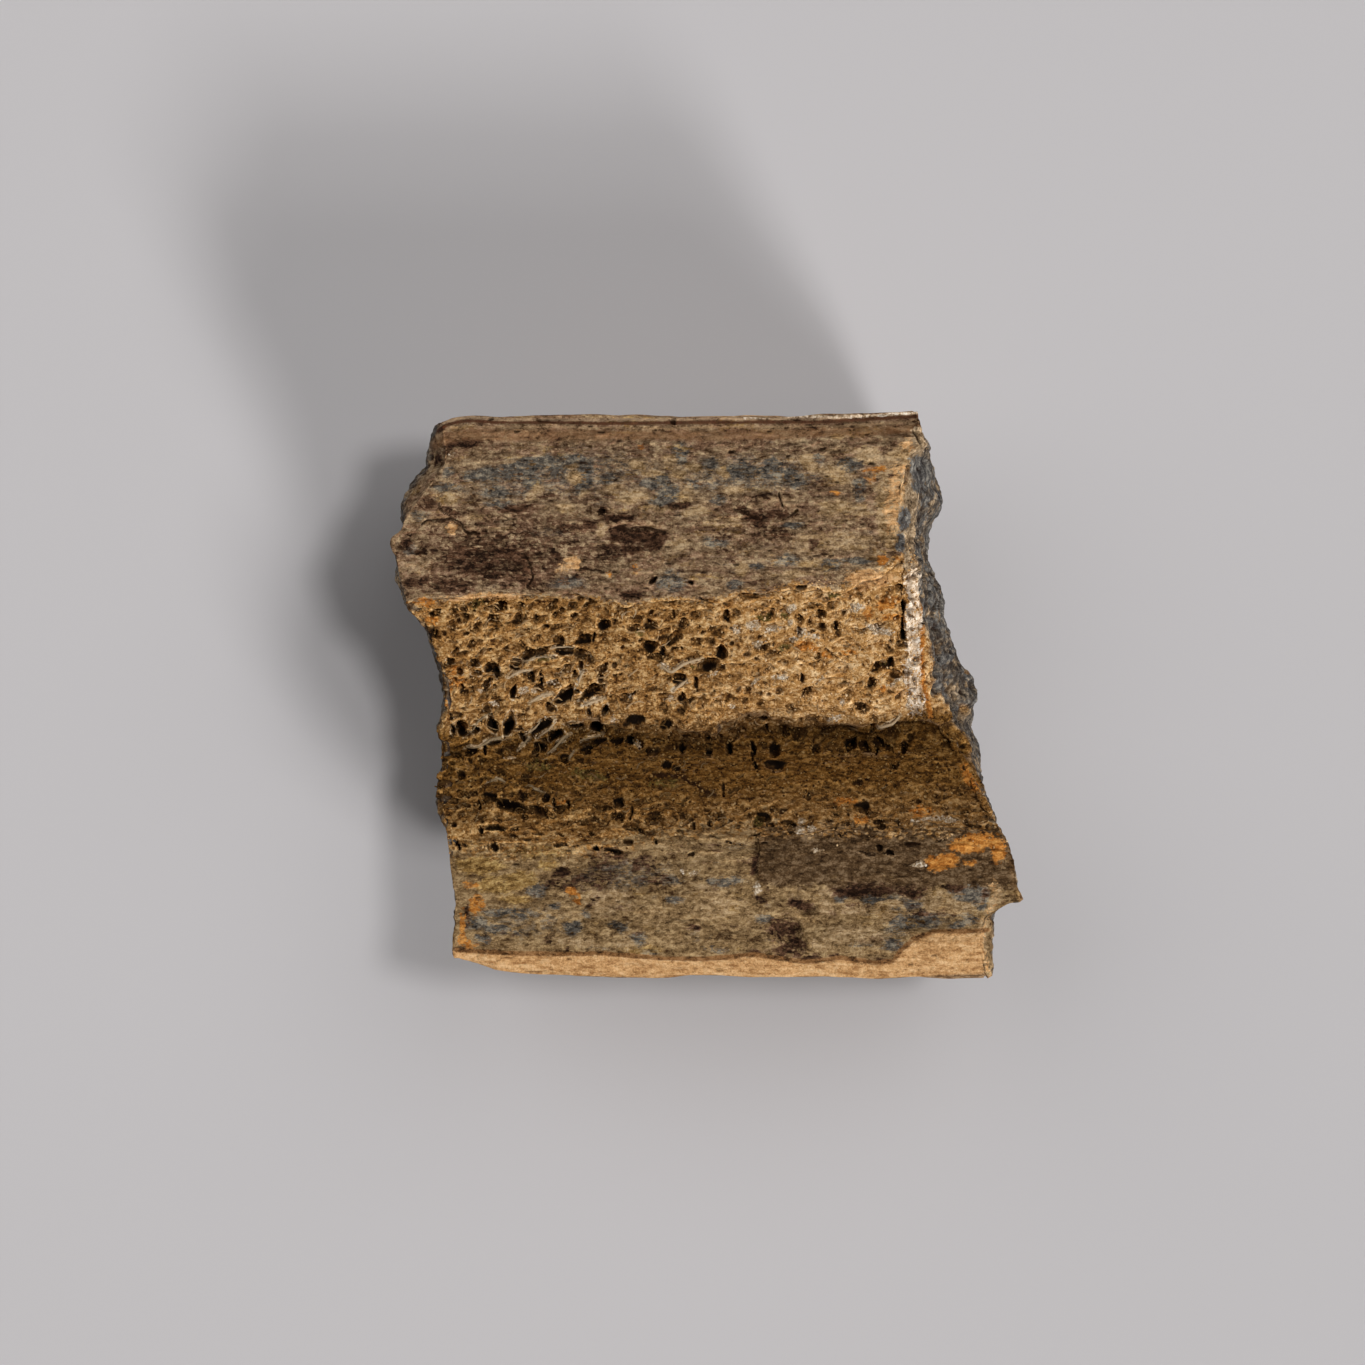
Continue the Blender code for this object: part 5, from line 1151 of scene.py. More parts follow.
def mesh_from(name, points, faces):
    """A smooth-shaded mesh from arrays of points and of faces that all have the same number of corners."""
    mesh = bpy.data.meshes.new(name)
    corners = faces.shape[1]
    mesh.vertices.add(len(points))
    mesh.vertices.foreach_set("co", points.astype(np.float32).ravel())
    mesh.loops.add(faces.size)
    mesh.loops.foreach_set("vertex_index", faces.astype(np.int32).ravel())
    mesh.polygons.add(len(faces))
    mesh.polygons.foreach_set("loop_start", np.arange(0, faces.size, corners, dtype=np.int32))
    mesh.update(calc_edges=True)
    mesh.shade_smooth()
    return mesh


def points_of(mesh):
    """The points of a mesh, in metres."""
    points = np.empty(len(mesh.vertices) * 3, np.float32)
    mesh.vertices.foreach_get("co", points)
    return points.reshape(-1, 3).astype(float)


def normals_of(mesh):
    """The normals at the points of a mesh."""
    normals = np.empty(len(mesh.vertices) * 3, np.float32)
    mesh.vertex_normals.foreach_get("vector", normals)
    return normals.reshape(-1, 3).astype(float)


def move_points(mesh, points):
    """Gives the points of a mesh new places."""
    mesh.vertices.foreach_set("co", points.astype(np.float32).ravel())
    mesh.update()


def new_piece(name, mesh, material):
    """An object of the fragment that rides on its body."""
    piece = bpy.data.objects.new(name, mesh)
    bpy.context.scene.collection.objects.link(piece)
    mesh.materials.append(material)
    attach(piece, "root")
    return piece


def thinned(piece, triangles):
    """Replaces a piece's mesh by one with the given number of triangles that keeps its main faces."""
    corners = len(piece.data.loops) - 2 * len(piece.data.polygons)
    thin = piece.modifiers.new("keep_main_faces", "DECIMATE")
    thin.ratio = triangles / corners
    shape = piece.evaluated_get(bpy.context.evaluated_depsgraph_get())
    mesh = bpy.data.meshes.new_from_object(shape)
    piece.modifiers.clear()
    piece.data = mesh


def settle_on_floor(points):
    """Flattens what would reach below the floor, as the worn facet is, and centres the form."""
    points = points.copy()
    points[:, 2] = np.maximum(points[:, 2], 0.0)
    points[:, :2] += FRAME_SHIFT
    return points * MM


def smoothed(values, edges, rounds):
    """Values of points, each drawn towards its neighbours' mean."""
    count = np.bincount(edges.ravel(), minlength=len(values))[:, None]
    for _ in range(rounds):
        total = np.stack(
            [
                np.bincount(edges[:, 0], values[edges[:, 1], axis], len(values))
                + np.bincount(edges[:, 1], values[edges[:, 0], axis], len(values))
                for axis in range(3)
            ],
            axis=1,
        )
        values = 0.5 * values + 0.5 * total / count
    return values


def edges_of(mesh):
    """The two points of each edge of a mesh."""
    edges = np.empty(len(mesh.edges) * 2, np.int32)
    mesh.edges.foreach_get("vertices", edges)
    return edges.reshape(-1, 2)


def add_mark(mesh, name, values):
    """Stores one value for each point of a mesh, for its material to read."""
    values = np.clip(values, 0, 1).astype(np.float32)
    mesh.attributes.new(name, "FLOAT", "POINT").data.foreach_set("value", values)


def stain_shape(stain, reach):
    """A stain's strength inside its oval, fading out round the rim."""
    return stain[5] * (1 - ease(reach, *STAIN_BORDER))


def stain_share(x, y, stains):
    """Strength of the strongest of the stains at each place."""
    return over_ovals(x, y, stains, STAIN_BORDER[1], stain_shape)


def spongy_surround(x, y):
    """1 on the spongy bone, fading out over the sand that has crept onto the dense walls beside it."""
    below = 1 - ease(y - broken_line(SPONGY_EDGE, x), -0.5, 0.7 + 1.4 * ease(x, -4.0, 14.0))
    lower_limit = -15.6 + 2.2 * ease(x, -14.0, 0.0)
    return below * ease(y, lower_limit - 2.0, lower_limit + 2.6)


def near_line(x, y, line):
    """1 on a line, falling off to 0 at its width from the middle of its route."""
    width, route = line
    return 1 - ease(segment_distance(x, y, route), 0.2 * width, width)


def pale_streaks(x, y):
    """1 on the pale streaks of the spongy bone, less on the rims of its pores, least in the trough."""
    streaks = np.zeros(len(x))
    for radius, route in STRUTS:
        streaks = np.maximum(streaks, near_line(x, y, (2.8 * radius, route)))
    left = (1 - ease(x, -11.0, -6.0)) * ease(y, -7.0, -3.0) * (1 - ease(y, 3.0, 6.0))
    return np.maximum(streaks, pore_rims(x, y) * (0.25 + 0.55 * left)) * (1 - 0.4 * ease(-y, 4.0, 6.0))


def mark_bone(mesh):
    """Writes on the mesh where each colour belongs. The mesh is in millimetres, before it is centred."""
    points = points_of(mesh)
    x, y, z = points.T
    edges = edges_of(mesh)
    broad = smoothed(normals_of(mesh), edges, BROAD_ROUNDS)
    broad /= np.linalg.norm(broad, axis=1)[:, None]
    crevice = np.einsum("ij,ij->i", smoothed(points, edges, CREVICE_ROUNDS) - points, normals_of(mesh))
    depth = marrow_height(x, y) - z
    upper = ease(broad[:, 2], 0.18, 0.45)
    outer = ease(-broad[:, 2], 0.15, 0.5)
    end = ease(np.abs(broad[:, 0]), 0.55, 0.75) * (1 - upper * (1 - ease(depth, 1.6, 3.0)))
    side = ease(np.abs(broad[:, 1]), 0.62, 0.82) * (1 - upper) * (1 - outer)
    shallow = 1 - ease(depth, 0.6, 2.0)
    spongy = spongy_share(x, y)
    wavy = wandered(x, y)
    pores = over_ovals(*wavy, PORES, PORE_INSIDE[1], darkness_shape)
    pits = ease(spongy_pits(*wavy), 0.25, 0.80) * spongy
    wall_pits = ease(pit_depth(x, y, WALL_PITS, NOISE_SEED + 105), 0.06, 0.22) * (1 - spongy)
    cracks = ease(crack_depth(*wavy), 0.05, 0.30) * (1 - spongy)
    chamfer = (1 - ease(y - broken_line(CHAMFER, x), -0.25, 0.35)) * (1 - ease(x, 27.8, 28.3))
    marks = {
        "open": spongy_surround(x, y),
        # Painted shade along the groove's line.
        "groove": near_line(*wavy, (GROOVE_SHADE_WIDTH, GROOVE)),
        # Painted shade: the sand below the lip and on the trough's far side is darkened where shade falls.
        "trough": ease(broken_line(TROUGH_SHADE_EDGE, x) - wavy[1], -0.5, 1.0) * (1 - ease(-y, 7.8, 16.5)),
        # Painted shade around the pores.
        "funnel_shade": pore_funnels(*wavy) * spongy,
        "bright": ease(x, -5.0, 12.0),
        "lower": 1 - ease(y, -14.0, -8.0),
        "blue": stain_share(*wavy, BLUE_STAINS),
        "dark": stain_share(*wavy, DARK_STAINS),
        "yellow": np.maximum(stain_share(*wavy, YELLOW_STAINS), 1.2 * near_line(x, y, LIGHT_RIM)),
        "rust": np.maximum(stain_share(*wavy, RUST_STAINS), near_line(x, y, RED_LINE)),
        "pale": stain_share(*wavy, PALE_STAINS),
        "white": np.maximum(near_line(*wavy, WHITE_BAND), near_line(x, y, WHITE_EDGE) * shallow),
        "tan": np.max([chamfer, 0.4 * near_line(x, y, LIGHT_RIM), stain_share(*wavy, TAN_STAINS)], axis=0),
        "olive": stain_share(*wavy, OLIVE_DIRT),
        "brink": near_line(x, y - 0.15, (BRINK_WIDTH, CHAMFER)),
        "gold": stain_share(*wavy, GOLD_STAINS),
        "cream": near_line(*wavy, CREAM_BAND),
        "slate": stain_share(*wavy, SLATE_PATCHES),
        "sheet": on_sheet(x, y, points),
        "streak": pale_streaks(*wavy),
        "from_edge": (smooth_line(UPPER_EDGE, x) - y + EDGE_START) / EDGE_SPAN,
        "outer": outer,
        "side": side,
        "end": end,
        # Painted shade: concave places are darkened.
        "crevice": ease(crevice, 0.015, 0.14) * 0.82,
        # Crests are lightened: partly wear, partly painted highlight; less along the lip and the chamfer.
        "crest": ease(-crevice, 0.015, 0.11) * (1 - np.maximum(0.7 * near_lip(x, y), 0.8 * chamfer)),
        # Painted shade: the insides of pores, pits and cracks are darkened towards black.
        "pore": np.max([pores, 0.6 * pits, 0.5 * wall_pits, 0.45 * cracks], axis=0) * upper,
        "upper": upper,
    }
    for name, values in marks.items():
        add_mark(mesh, name, values)


def triangles_of(mesh):
    """The three points of each triangle of a mesh."""
    mesh.calc_loop_triangles()
    corners = np.empty(len(mesh.loop_triangles) * 3, np.int32)
    mesh.loop_triangles.foreach_get("vertices", corners)
    return corners.reshape(-1, 3)


def model_bone():
    """The fragment's whole fine surface as one mesh, with its marks."""
    cube, faces = box_grid((CUTS_ALONG, CUTS_ACROSS, CUTS_UP))
    points = smooth_form(cube)
    mesh = mesh_from("bone", points, faces)
    for faces_relief in (MAIN_RELIEF, FINE_RELIEF):
        normals = normals_of(mesh)
        points = points + normals * rise_of(points, normals, faces_relief)[:, None]
        move_points(mesh, points)
    bone = bpy.data.objects.new("bone", mesh)
    bpy.context.scene.collection.objects.link(bone)
    thinned(bone, KEPT_TRIANGLES)
    mark_bone(bone.data)
    move_points(bone.data, settle_on_floor(points_of(bone.data)))
    return bone


def cut_into_strips(bone, material):
    """Puts strips with the whole surface's points and normals in place of the CAD solid."""
    mesh = bone.data
    points = points_of(mesh)
    normals = normals_of(mesh)
    corners = triangles_of(mesh)
    across = points[corners, 1].mean(axis=1)
    borders = np.quantile(across, np.arange(1, len(STRIPS)) / len(STRIPS))
    strip_of = np.searchsorted(borders, across)
    marks = [mark.name for mark in mesh.attributes if mark.data_type == "FLOAT"]
    for number, name in enumerate(STRIPS):
        used, faces = np.unique(corners[strip_of == number], return_inverse=True)
        strip = mesh_from(name, points[used], faces.reshape(-1, 3))
        strip.normals_split_custom_set_from_vertices(normals[used])
        for mark in marks:
            add_mark(strip, mark, mark_of(mesh, mark)[used])
        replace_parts(new_piece(name, strip, material), NODE)
    bpy.data.objects.remove(bone)


def mark_of(mesh, name):
    """The stored value of each point of a mesh."""
    values = np.empty(len(mesh.vertices), np.float32)
    mesh.attributes[name].data.foreach_get("value", values)
    return values.astype(float)


def lump_shape():
    """Points and triangles of a round lump of radius 1."""
    mesh = bmesh.new()
    bmesh.ops.create_icosphere(mesh, subdivisions=1, radius=1.0)
    points = np.array([vertex.co for vertex in mesh.verts])
    faces = np.array([[vertex.index for vertex in face.verts] for face in mesh.faces])
    mesh.free()
    return points, faces


def frames_on(normals, random):
    """For each normal, three directions at right angles: two along the surface and the normal itself."""
    guide = random.normal(size=normals.shape)
    first = np.cross(normals, guide)
    first /= np.linalg.norm(first, axis=1)[:, None]
    return np.stack([first, np.cross(normals, first), normals], axis=1)


def scatter(name, bone, weights, count, flatness, material, seed):
    """Grains half sunk in the bone's surface, as one joined mesh."""
    random = np.random.default_rng(seed)
    mesh = bone.data
    corners = triangles_of(mesh)
    points = points_of(mesh)
    edge_a = points[corners[:, 1]] - points[corners[:, 0]]
    edge_b = points[corners[:, 2]] - points[corners[:, 0]]
    across = np.cross(edge_a, edge_b)
    area = np.linalg.norm(across, axis=1)
    chance = area * weights[corners].mean(axis=1)
    chosen = random.choice(len(corners), count, p=chance / chance.sum())
    part = random.random((count, 2))
    part = np.where(part.sum(axis=1, keepdims=True) > 1, 1 - part, part)
    places = points[corners[chosen, 0]] + edge_a[chosen] * part[:, :1] + edge_b[chosen] * part[:, 1:]
    frames = frames_on(across[chosen] / area[chosen, None], random)
    smallest, largest = GRAIN_RADII
    radius = smallest + (largest - smallest) * random.random(count) ** 2
    stretch = random.uniform(0.7, 1.35, (count, 3)) * (1, 1, flatness)
    shape, faces = lump_shape()
    uneven = random.uniform(0.75, 1.2, (count, len(shape), 1))
    lumps = shape[None] * uneven * (stretch * radius[:, None])[:, None]
    lumps = np.einsum("npk,nkj->npj", lumps, frames) * MM + places[:, None]
    joined = (faces[None] + (np.arange(count) * len(shape))[:, None, None]).reshape(-1, 3)
    made = mesh_from(name, lumps.reshape(-1, 3), joined)
    add_mark(made, "tone", np.repeat(random.random(count) ** 1.4, len(shape)))
    # The trough mark carries the trough's painted shade onto the grains.
    for mark in ("trough", "bright"):
        add_mark(made, mark, np.repeat(mark_of(mesh, mark)[corners[chosen, 0]], len(shape)))
    return new_piece(name, made, material)


class Graph:
    """The shader nodes of one material, added in short calls. Sizes are millimetres."""

    def __init__(self, name, roughness):
        self.material = bpy.data.materials.new(name)
        self.material.use_nodes = True
        self.tree = self.material.node_tree
        self.shader = self.tree.nodes["Principled BSDF"]
        self.shader.inputs["Roughness"].default_value = roughness
        self.shader.inputs["Specular IOR Level"].default_value = DULL_SPECULAR
        self.place = self.node("ShaderNodeTexCoord").outputs["Object"]

    def node(self, kind, inputs=(), **settings):
        """A node with the given settings; each input is a socket, which is linked, or a value."""
        made = self.tree.nodes.new(kind)
        for name, value in settings.items():
            setattr(made, name, value)
        for key, value in dict(inputs).items():
            if isinstance(value, bpy.types.NodeSocket):
                self.tree.links.new(value, made.inputs[key])
            else:
                made.inputs[key].default_value = value
        return made

    def mark(self, name):
        """A mark that the mesh carries at its points."""
        return self.node("ShaderNodeAttribute", attribute_name=name).outputs["Fac"]

    def scaled(self, size, shift=0.0):
        """The surface's place, with the given lengths along, across and up as its unit."""
        scale = [1 / (MM * length) for length in size]
        return self.node(
            "ShaderNodeMapping", {"Vector": self.place, "Location": (shift,) * 3, "Scale": scale}
        ).outputs["Vector"]

    def noise(self, size, detail=2.0, shift=0.0):
        """Cloudy noise around 0.5, with patches of the given lengths along, across and up."""
        inputs = {"Vector": self.scaled(size, shift), "Scale": 1.0, "Detail": detail, "Roughness": 0.6}
        return self.node("ShaderNodeTexNoise", inputs).outputs["Fac"]

    def grains(self, size, shift=0.0):
        """Two random numbers for each grain, and the distance from its middle."""
        inputs = {"Vector": self.scaled(size, shift), "Scale": 1.0}
        grain = self.node("ShaderNodeTexVoronoi", inputs)
        random = self.node("ShaderNodeSeparateColor", {"Color": grain.outputs["Color"]})
        return random.outputs["Red"], random.outputs["Green"], grain.outputs["Distance"]

    def math(self, operation, first, second=0.0, third=0.0):
        """The result of one sum or comparison of sockets or values."""
        inputs = {0: first, 1: second, 2: third}
        return self.node("ShaderNodeMath", inputs, operation=operation).outputs[0]

    def total(self, start, *terms):
        """start plus the sum of each (value, weight) about the value's middle, 0.5."""
        for value, weight in terms:
            start = self.math("ADD", self.math("MULTIPLY_ADD", value, weight, -weight / 2), start)
        return start

    def between(self, value, low, high):
        """0 below low, 1 above high and a smooth rise between them."""
        inputs = {"Value": value, "From Min": low, "From Max": high}
        return self.node("ShaderNodeMapRange", inputs, interpolation_type="SMOOTHSTEP").outputs["Result"]

    def stained(self, mark, low, high, *terms):
        """Share of a stain: its mark with an uneven border, and none where the mark is absent."""
        uneven = self.between(self.total(mark, *terms), low, high)
        return self.math("MULTIPLY", uneven, self.between(mark, 0.0, 0.25))

    def tones(self, value, *colours):
        """A colour between evenly spaced ones, from the darkest at 0 to the lightest at 1."""
        ramp = self.node("ShaderNodeValToRGB", {"Fac": value})
        stops = ramp.color_ramp.elements
        while len(stops) < len(colours):
            stops.new(0.5)
        for number, colour in enumerate(colours):
            stops[number].position = number / (len(colours) - 1)
            stops[number].color = (*colour, 1)
        return ramp.outputs["Color"]

    def mix(self, share, first, second, blend="MIX"):
        """The first colour, with the given share of the second mixed in."""
        made = self.node("ShaderNodeMix", data_type="RGBA", blend_type=blend)
        for socket, value in ((made.inputs[0], share), (made.inputs[6], first), (made.inputs[7], second)):
            if isinstance(value, bpy.types.NodeSocket):
                self.tree.links.new(value, socket)
            elif isinstance(value, tuple):
                socket.default_value = (*value, 1)
            else:
                socket.default_value = value
        return made.outputs[2]

    def finish(self, colour, height, bump_height):
        """Joins the colour and a bump of the given height to the shader."""
        self.tree.links.new(colour, self.shader.inputs["Base Color"])
        inputs = {"Height": height, "Strength": 1.0, "Distance": bump_height * MM}
        bump = self.node("ShaderNodeBump", inputs)
        self.tree.links.new(bump.outputs["Normal"], self.shader.inputs["Normal"])
        return self.material


def marrow_colour(graph, wall, sand, choice):
    """Colour of the marrow side: dense walls with stains, the dark sheet and the sandy spongy bone."""
    edge = graph.noise((1.6, 0.8, 0.8), 5.0, 7.0)
    strand = graph.noise((1.5, 0.17, 0.17), 2.0, 9.0)
    reddish = graph.total(graph.noise((3.4, 1.6, 1.6), 3.0, 41.0), (choice, 0.25))
    reddish = graph.between(reddish, 0.42, 0.62)
    colour = graph.mix(reddish, graph.tones(wall, *BROWN_WALL), graph.tones(wall, *RED_WALL))
    colour = graph.mix(graph.mark("lower"), colour, graph.tones(wall, *LOWER_WALL))
    for name, palette, darker, shift in WALL_STAINS:
        mark = graph.mark(name)
        scattered = graph.between(graph.noise((5.0, 1.8, 1.8), 3.0, shift), 0.53, 0.68)
        present = graph.math("MULTIPLY_ADD", scattered, 0.35, graph.math("MULTIPLY", mark, 1.15))
        uneven = graph.total(present, (edge, 1.4), (strand, 1.5), (choice, 0.6))
        share = graph.between(uneven, 0.16, 0.90)
        shade = graph.math("MULTIPLY_ADD", mark, darker, wall)
        colour = graph.mix(share, colour, graph.tones(shade, *palette))
    sheet = graph.stained(graph.mark("sheet"), 0.25, 0.75, (edge, 1.4), (choice, 0.6))
    colour = graph.mix(sheet, colour, graph.tones(wall, *SHEET))
    share = graph.stained(graph.mark("open"), 0.25, 0.75, (edge, 1.4), (choice, 0.7))
    colour = graph.mix(share, colour, sandy_colour(graph, sand, edge, choice))
    banded = graph.total(sand, (graph.noise((9.0, 0.35, 0.35), 3.0, 37.0), 1.0))
    for name, palette, tone in LATE_STAINS:
        share = graph.stained(graph.mark(name), 0.28, 0.80, (edge, 1.2), (strand, 0.8), (choice, 0.6))
        colour = graph.mix(share, colour, graph.tones(banded if tone == "banded" else sand, *palette))
    share = graph.stained(graph.mark("brink"), 0.25, 0.95, (edge, 0.9), (strand, 0.9))
    colour = graph.mix(share, colour, graph.tones(sand, *BRINK))
    return laminae(graph, colour, wall)


def sandy_colour(graph, sand, edge, choice):
    """Colour of the spongy bone: sand, brighter to the right, with painted shade in the trough, in the
    groove and, browner, around the pores.
    """
    colour = graph.mix(graph.mark("bright"), graph.tones(sand, *SAND), graph.tones(sand, *BRIGHT_SAND))
    # Painted shade: the sand in the trough is darkened.
    colour = graph.mix(graph.mark("trough"), colour, graph.tones(sand, *TROUGH_SHADE_SAND))
    # Painted shade around the pores, less in the trough, which has its own.
    share = graph.stained(graph.mark("funnel_shade"), 0.30, 1.0, (edge, 0.9), (choice, 0.5))
    share = graph.math("MULTIPLY", share, graph.math("MULTIPLY_ADD", graph.mark("trough"), -0.6, 1.0))
    colour = graph.mix(share, colour, graph.tones(sand, *FUNNEL_SHADE))
    share = graph.stained(graph.mark("streak"), 0.30, 0.90, (edge, 0.7), (choice, 0.5))
    colour = graph.mix(share, colour, graph.tones(sand, *STREAK))
    # Painted shade: the groove's line is darkened to near-black.
    return graph.mix(graph.mark("groove"), colour, CREVICE_SHADE)


def laminae(graph, colour, speck):
    """Thin layers along the upper long edge."""
    wave = graph.noise((9.0, 1.2, 1.2), 2.0, 31.0)
    gap = graph.math("MULTIPLY_ADD", graph.mark("from_edge"), EDGE_SPAN, -EDGE_START)
    gap = graph.math("MULTIPLY_ADD", graph.math("SUBTRACT", wave, 0.5), 0.6, gap)
    for middle, half_width, tint, strength in LAMINAE:
        away = graph.math("ABSOLUTE", graph.math("SUBTRACT", gap, middle))
        here = graph.math("SUBTRACT", 1.0, graph.between(away, half_width * 0.5, half_width * 1.6))
        here = graph.math("MULTIPLY", here, strength)
        share = graph.math("MULTIPLY", here, graph.between(speck, -0.1, 0.5))
        colour = graph.mix(graph.math("MULTIPLY", share, graph.mark("upper")), colour, tint)
    return colour


def end_colour(graph, grain):
    """Colour of the snapped ends: dark bone with slate and cream patches."""
    colour = graph.tones(grain, *DARK_END)
    for palette, shift, low in END_PATCHES:
        share = graph.between(graph.noise((1.9, 1.5, 2.2), 4.0, shift), low, low + 0.12)
        colour = graph.mix(share, colour, graph.tones(grain, *palette))
    return colour


def bone_material():
    """The bone's material: marrow side, outer skin, split sides and ends, then crests lightened by wear and
    painted highlight, and painted shade in crevices and pores.
    """
    graph = Graph("fossil_bone_surface", 0.85)
    tone, choice, distance = graph.grains((0.34, 0.25, 0.25))
    fine = graph.noise((0.17, 0.13, 0.13), 1.0)
    clump = graph.noise((0.95, 0.55, 0.55), 2.0, 13.0)
    fibre = graph.noise((2.2, 0.24, 0.24), 2.0, 3.0)
    cloud = graph.noise((4.0, 1.8, 1.8), 3.0, 5.0)
    sand = graph.total(0.5, (tone, 0.42), (fine, 0.85), (clump, 1.6), (cloud, 0.8))
    wall = graph.total(sand, (fibre, 0.45))
    colour = marrow_colour(graph, wall, sand, choice)
    colour = graph.mix(graph.mark("outer"), colour, graph.tones(wall, *OUTER_SKIN))
    colour = graph.mix(graph.mark("side"), colour, graph.tones(wall, *SPLIT_SIDE))
    colour = graph.mix(graph.mark("end"), colour, end_colour(graph, sand))
    upright = graph.total(sand, (graph.noise((0.28, 2.2, 1.2), 3.0, 61.0), 1.4))
    for name, palette in RIM_STAINS:
        share = graph.stained(graph.mark(name), 0.30, 0.74, (upright, 0.7), (choice, 0.5))
        colour = graph.mix(share, colour, graph.tones(upright, *palette))
    # Crests lightened: partly wear, partly painted highlight.
    colour = graph.mix(graph.math("MULTIPLY", graph.mark("crest"), 0.6), colour, CREST_WEAR_AND_HIGHLIGHT, "MULTIPLY")
    # Painted shade: concave places darken towards the crevice colour.
    colour = graph.mix(graph.mark("crevice"), colour, CREVICE_SHADE)
    # Painted shade inside the pores, pits and cracks.
    colour = graph.mix(graph.mark("pore"), colour, PORE_SHADE)
    height = graph.total(0.5, (distance, -0.8), (fine, 0.9), (fibre, 0.3))
    return graph.finish(colour, height, 0.11)


def grain_material(name, palette, bright_palette, trough_shade_palette):
    """Each grain has a tone of its own. To the right they are brighter, and in the trough darkened as
    painted shade.
    """
    graph = Graph(name, 0.8)
    fine = graph.noise((0.12, 0.12, 0.12), 1.0)
    tone = graph.total(graph.mark("tone"), (fine, 0.6))
    bright = graph.mark("bright")
    colour = graph.mix(bright, graph.tones(tone, *palette), graph.tones(tone, *bright_palette))
    # Painted shade: grains in the trough are darkened.
    colour = graph.mix(graph.mark("trough"), colour, graph.tones(tone, *trough_shade_palette))
    return graph.finish(colour, fine, 0.03)


def rod(route, radius, random):
    """Points and triangles of a rough rod that follows the route and narrows to its sunken ends."""
    sides = STRUT_SIDES
    count = len(route)
    ahead = np.gradient(route, axis=0)
    ahead /= np.linalg.norm(ahead, axis=1)[:, None]
    aside = np.cross(ahead, (0.0, 0.0, 1.0))
    aside /= np.linalg.norm(aside, axis=1)[:, None]
    above = np.cross(aside, ahead)
    turn = np.arange(sides) * 2 * math.pi / sides
    width = radius * (0.45 + 0.55 * np.sin(np.linspace(0, math.pi, count)))
    width = width[:, None] * random.uniform(0.65, 1.35, (count, sides))
    around = aside[:, None] * np.cos(turn)[None, :, None] + above[:, None] * np.sin(turn)[None, :, None]
    rings = route[:, None] + around * width[:, :, None]
    tips = (route[:1] - ahead[:1] * radius, route[-1:] + ahead[-1:] * radius)
    points = np.concatenate([rings.reshape(-1, 3), *tips])
    faces = []
    for ring in range(count - 1):
        for side in range(sides):
            a = ring * sides + side
            b = ring * sides + (side + 1) % sides
            faces += [(a, b, b + sides), (a, b + sides, a + sides)]
    start = count * sides
    last = (count - 1) * sides
    for side in range(sides):
        after = (side + 1) % sides
        faces += [(start, after, side), (start + 1, last + side, last + after)]
    return points, np.array(faces)


def surface_height(bone, x, y):
    """Height of the bone's surface in millimetres under a place of the form, or None beside it."""
    above = Vector(((x + FRAME_SHIFT[0]) * MM, (y + FRAME_SHIFT[1]) * MM, ABOVE_BONE * MM))
    hit, place, _, _ = bone.ray_cast(above, Vector((0, 0, -1)))
    return place.z / MM if hit else None


def strut_route(bone, plan, arch):
    """A strut's route over the surface, with its ends sunk in and its middle lifted by the arch."""
    steps = np.linspace(0, len(plan) - 1, STRUT_STEPS)
    x, y = (smooth_line(list(enumerate(values)), steps) for values in zip(*plan))
    heights = [surface_height(bone, *place) for place in zip(x, y)]
    if None in heights:
        return None
    share = steps / steps[-1]
    straight = heights[0] + (heights[-1] - heights[0]) * share
    z = np.maximum(heights, straight) + arch * np.sin(share * math.pi) - STRUT_SINK
    return np.stack([x + FRAME_SHIFT[0], y + FRAME_SHIFT[1], z], axis=1) * MM


def small_strut_plans():
    """Radius, plan and arch of the small struts between the pores, fewer of them to the right."""
    random = np.random.default_rng(STRUT_SEED)
    plans = []
    while len(plans) < STRUT_COUNT:
        x, y = (random.uniform(*limits) for limits in STRUT_FIELD)
        if x > -2 and random.random() < 0.7:
            continue
        turn = math.radians(random.normal(20 if y > -8 else 2, 30))
        run = np.array([math.cos(turn), math.sin(turn)]) * random.uniform(*SMALL_STRUT_REACH)
        middle = np.array([x, y]) + np.array([-run[1], run[0]]) * random.normal(0, 0.35)
        route = ((x - run[0], y - run[1]), tuple(middle), (x + run[0], y + run[1]))
        plans.append((random.uniform(*SMALL_STRUT_RADIUS), route, random.uniform(*SMALL_STRUT_ARCH)))
    return plans


def model_struts(bone, material):
    """Thin struts of the spongy bone: the longest listed one by one, and many small ones between the pores.
    """
    plans = [(radius, route, STRUT_ARCH) for radius, route in STRUTS] + small_strut_plans()
    random = np.random.default_rng(STRUT_SEED)
    points, faces, tones, shaded_in_trough = [], [], [], []
    total = 0
    for number, (radius, plan, arch) in enumerate(plans):
        route = strut_route(bone, plan, arch)
        if route is None:
            continue
        rod_points, rod_faces = rod(route, radius * MM, random)
        points.append(rod_points)
        faces.append(rod_faces + total)
        total += len(rod_points)
        tones.append(np.full(len(rod_points), 0.85 if number < len(STRUTS) else random.uniform(0.05, 0.7)))
        # Struts in the trough get its painted shade.
        shaded_in_trough.append(np.full(len(rod_points), 1.0 if plan[0][1] < -2.5 else 0.0))
    mesh = mesh_from("spongy_struts", np.concatenate(points), np.concatenate(faces))
    add_mark(mesh, "tone", np.concatenate(tones))
    add_mark(mesh, "trough", np.concatenate(shaded_in_trough))
    return new_piece("spongy_struts", mesh, material)


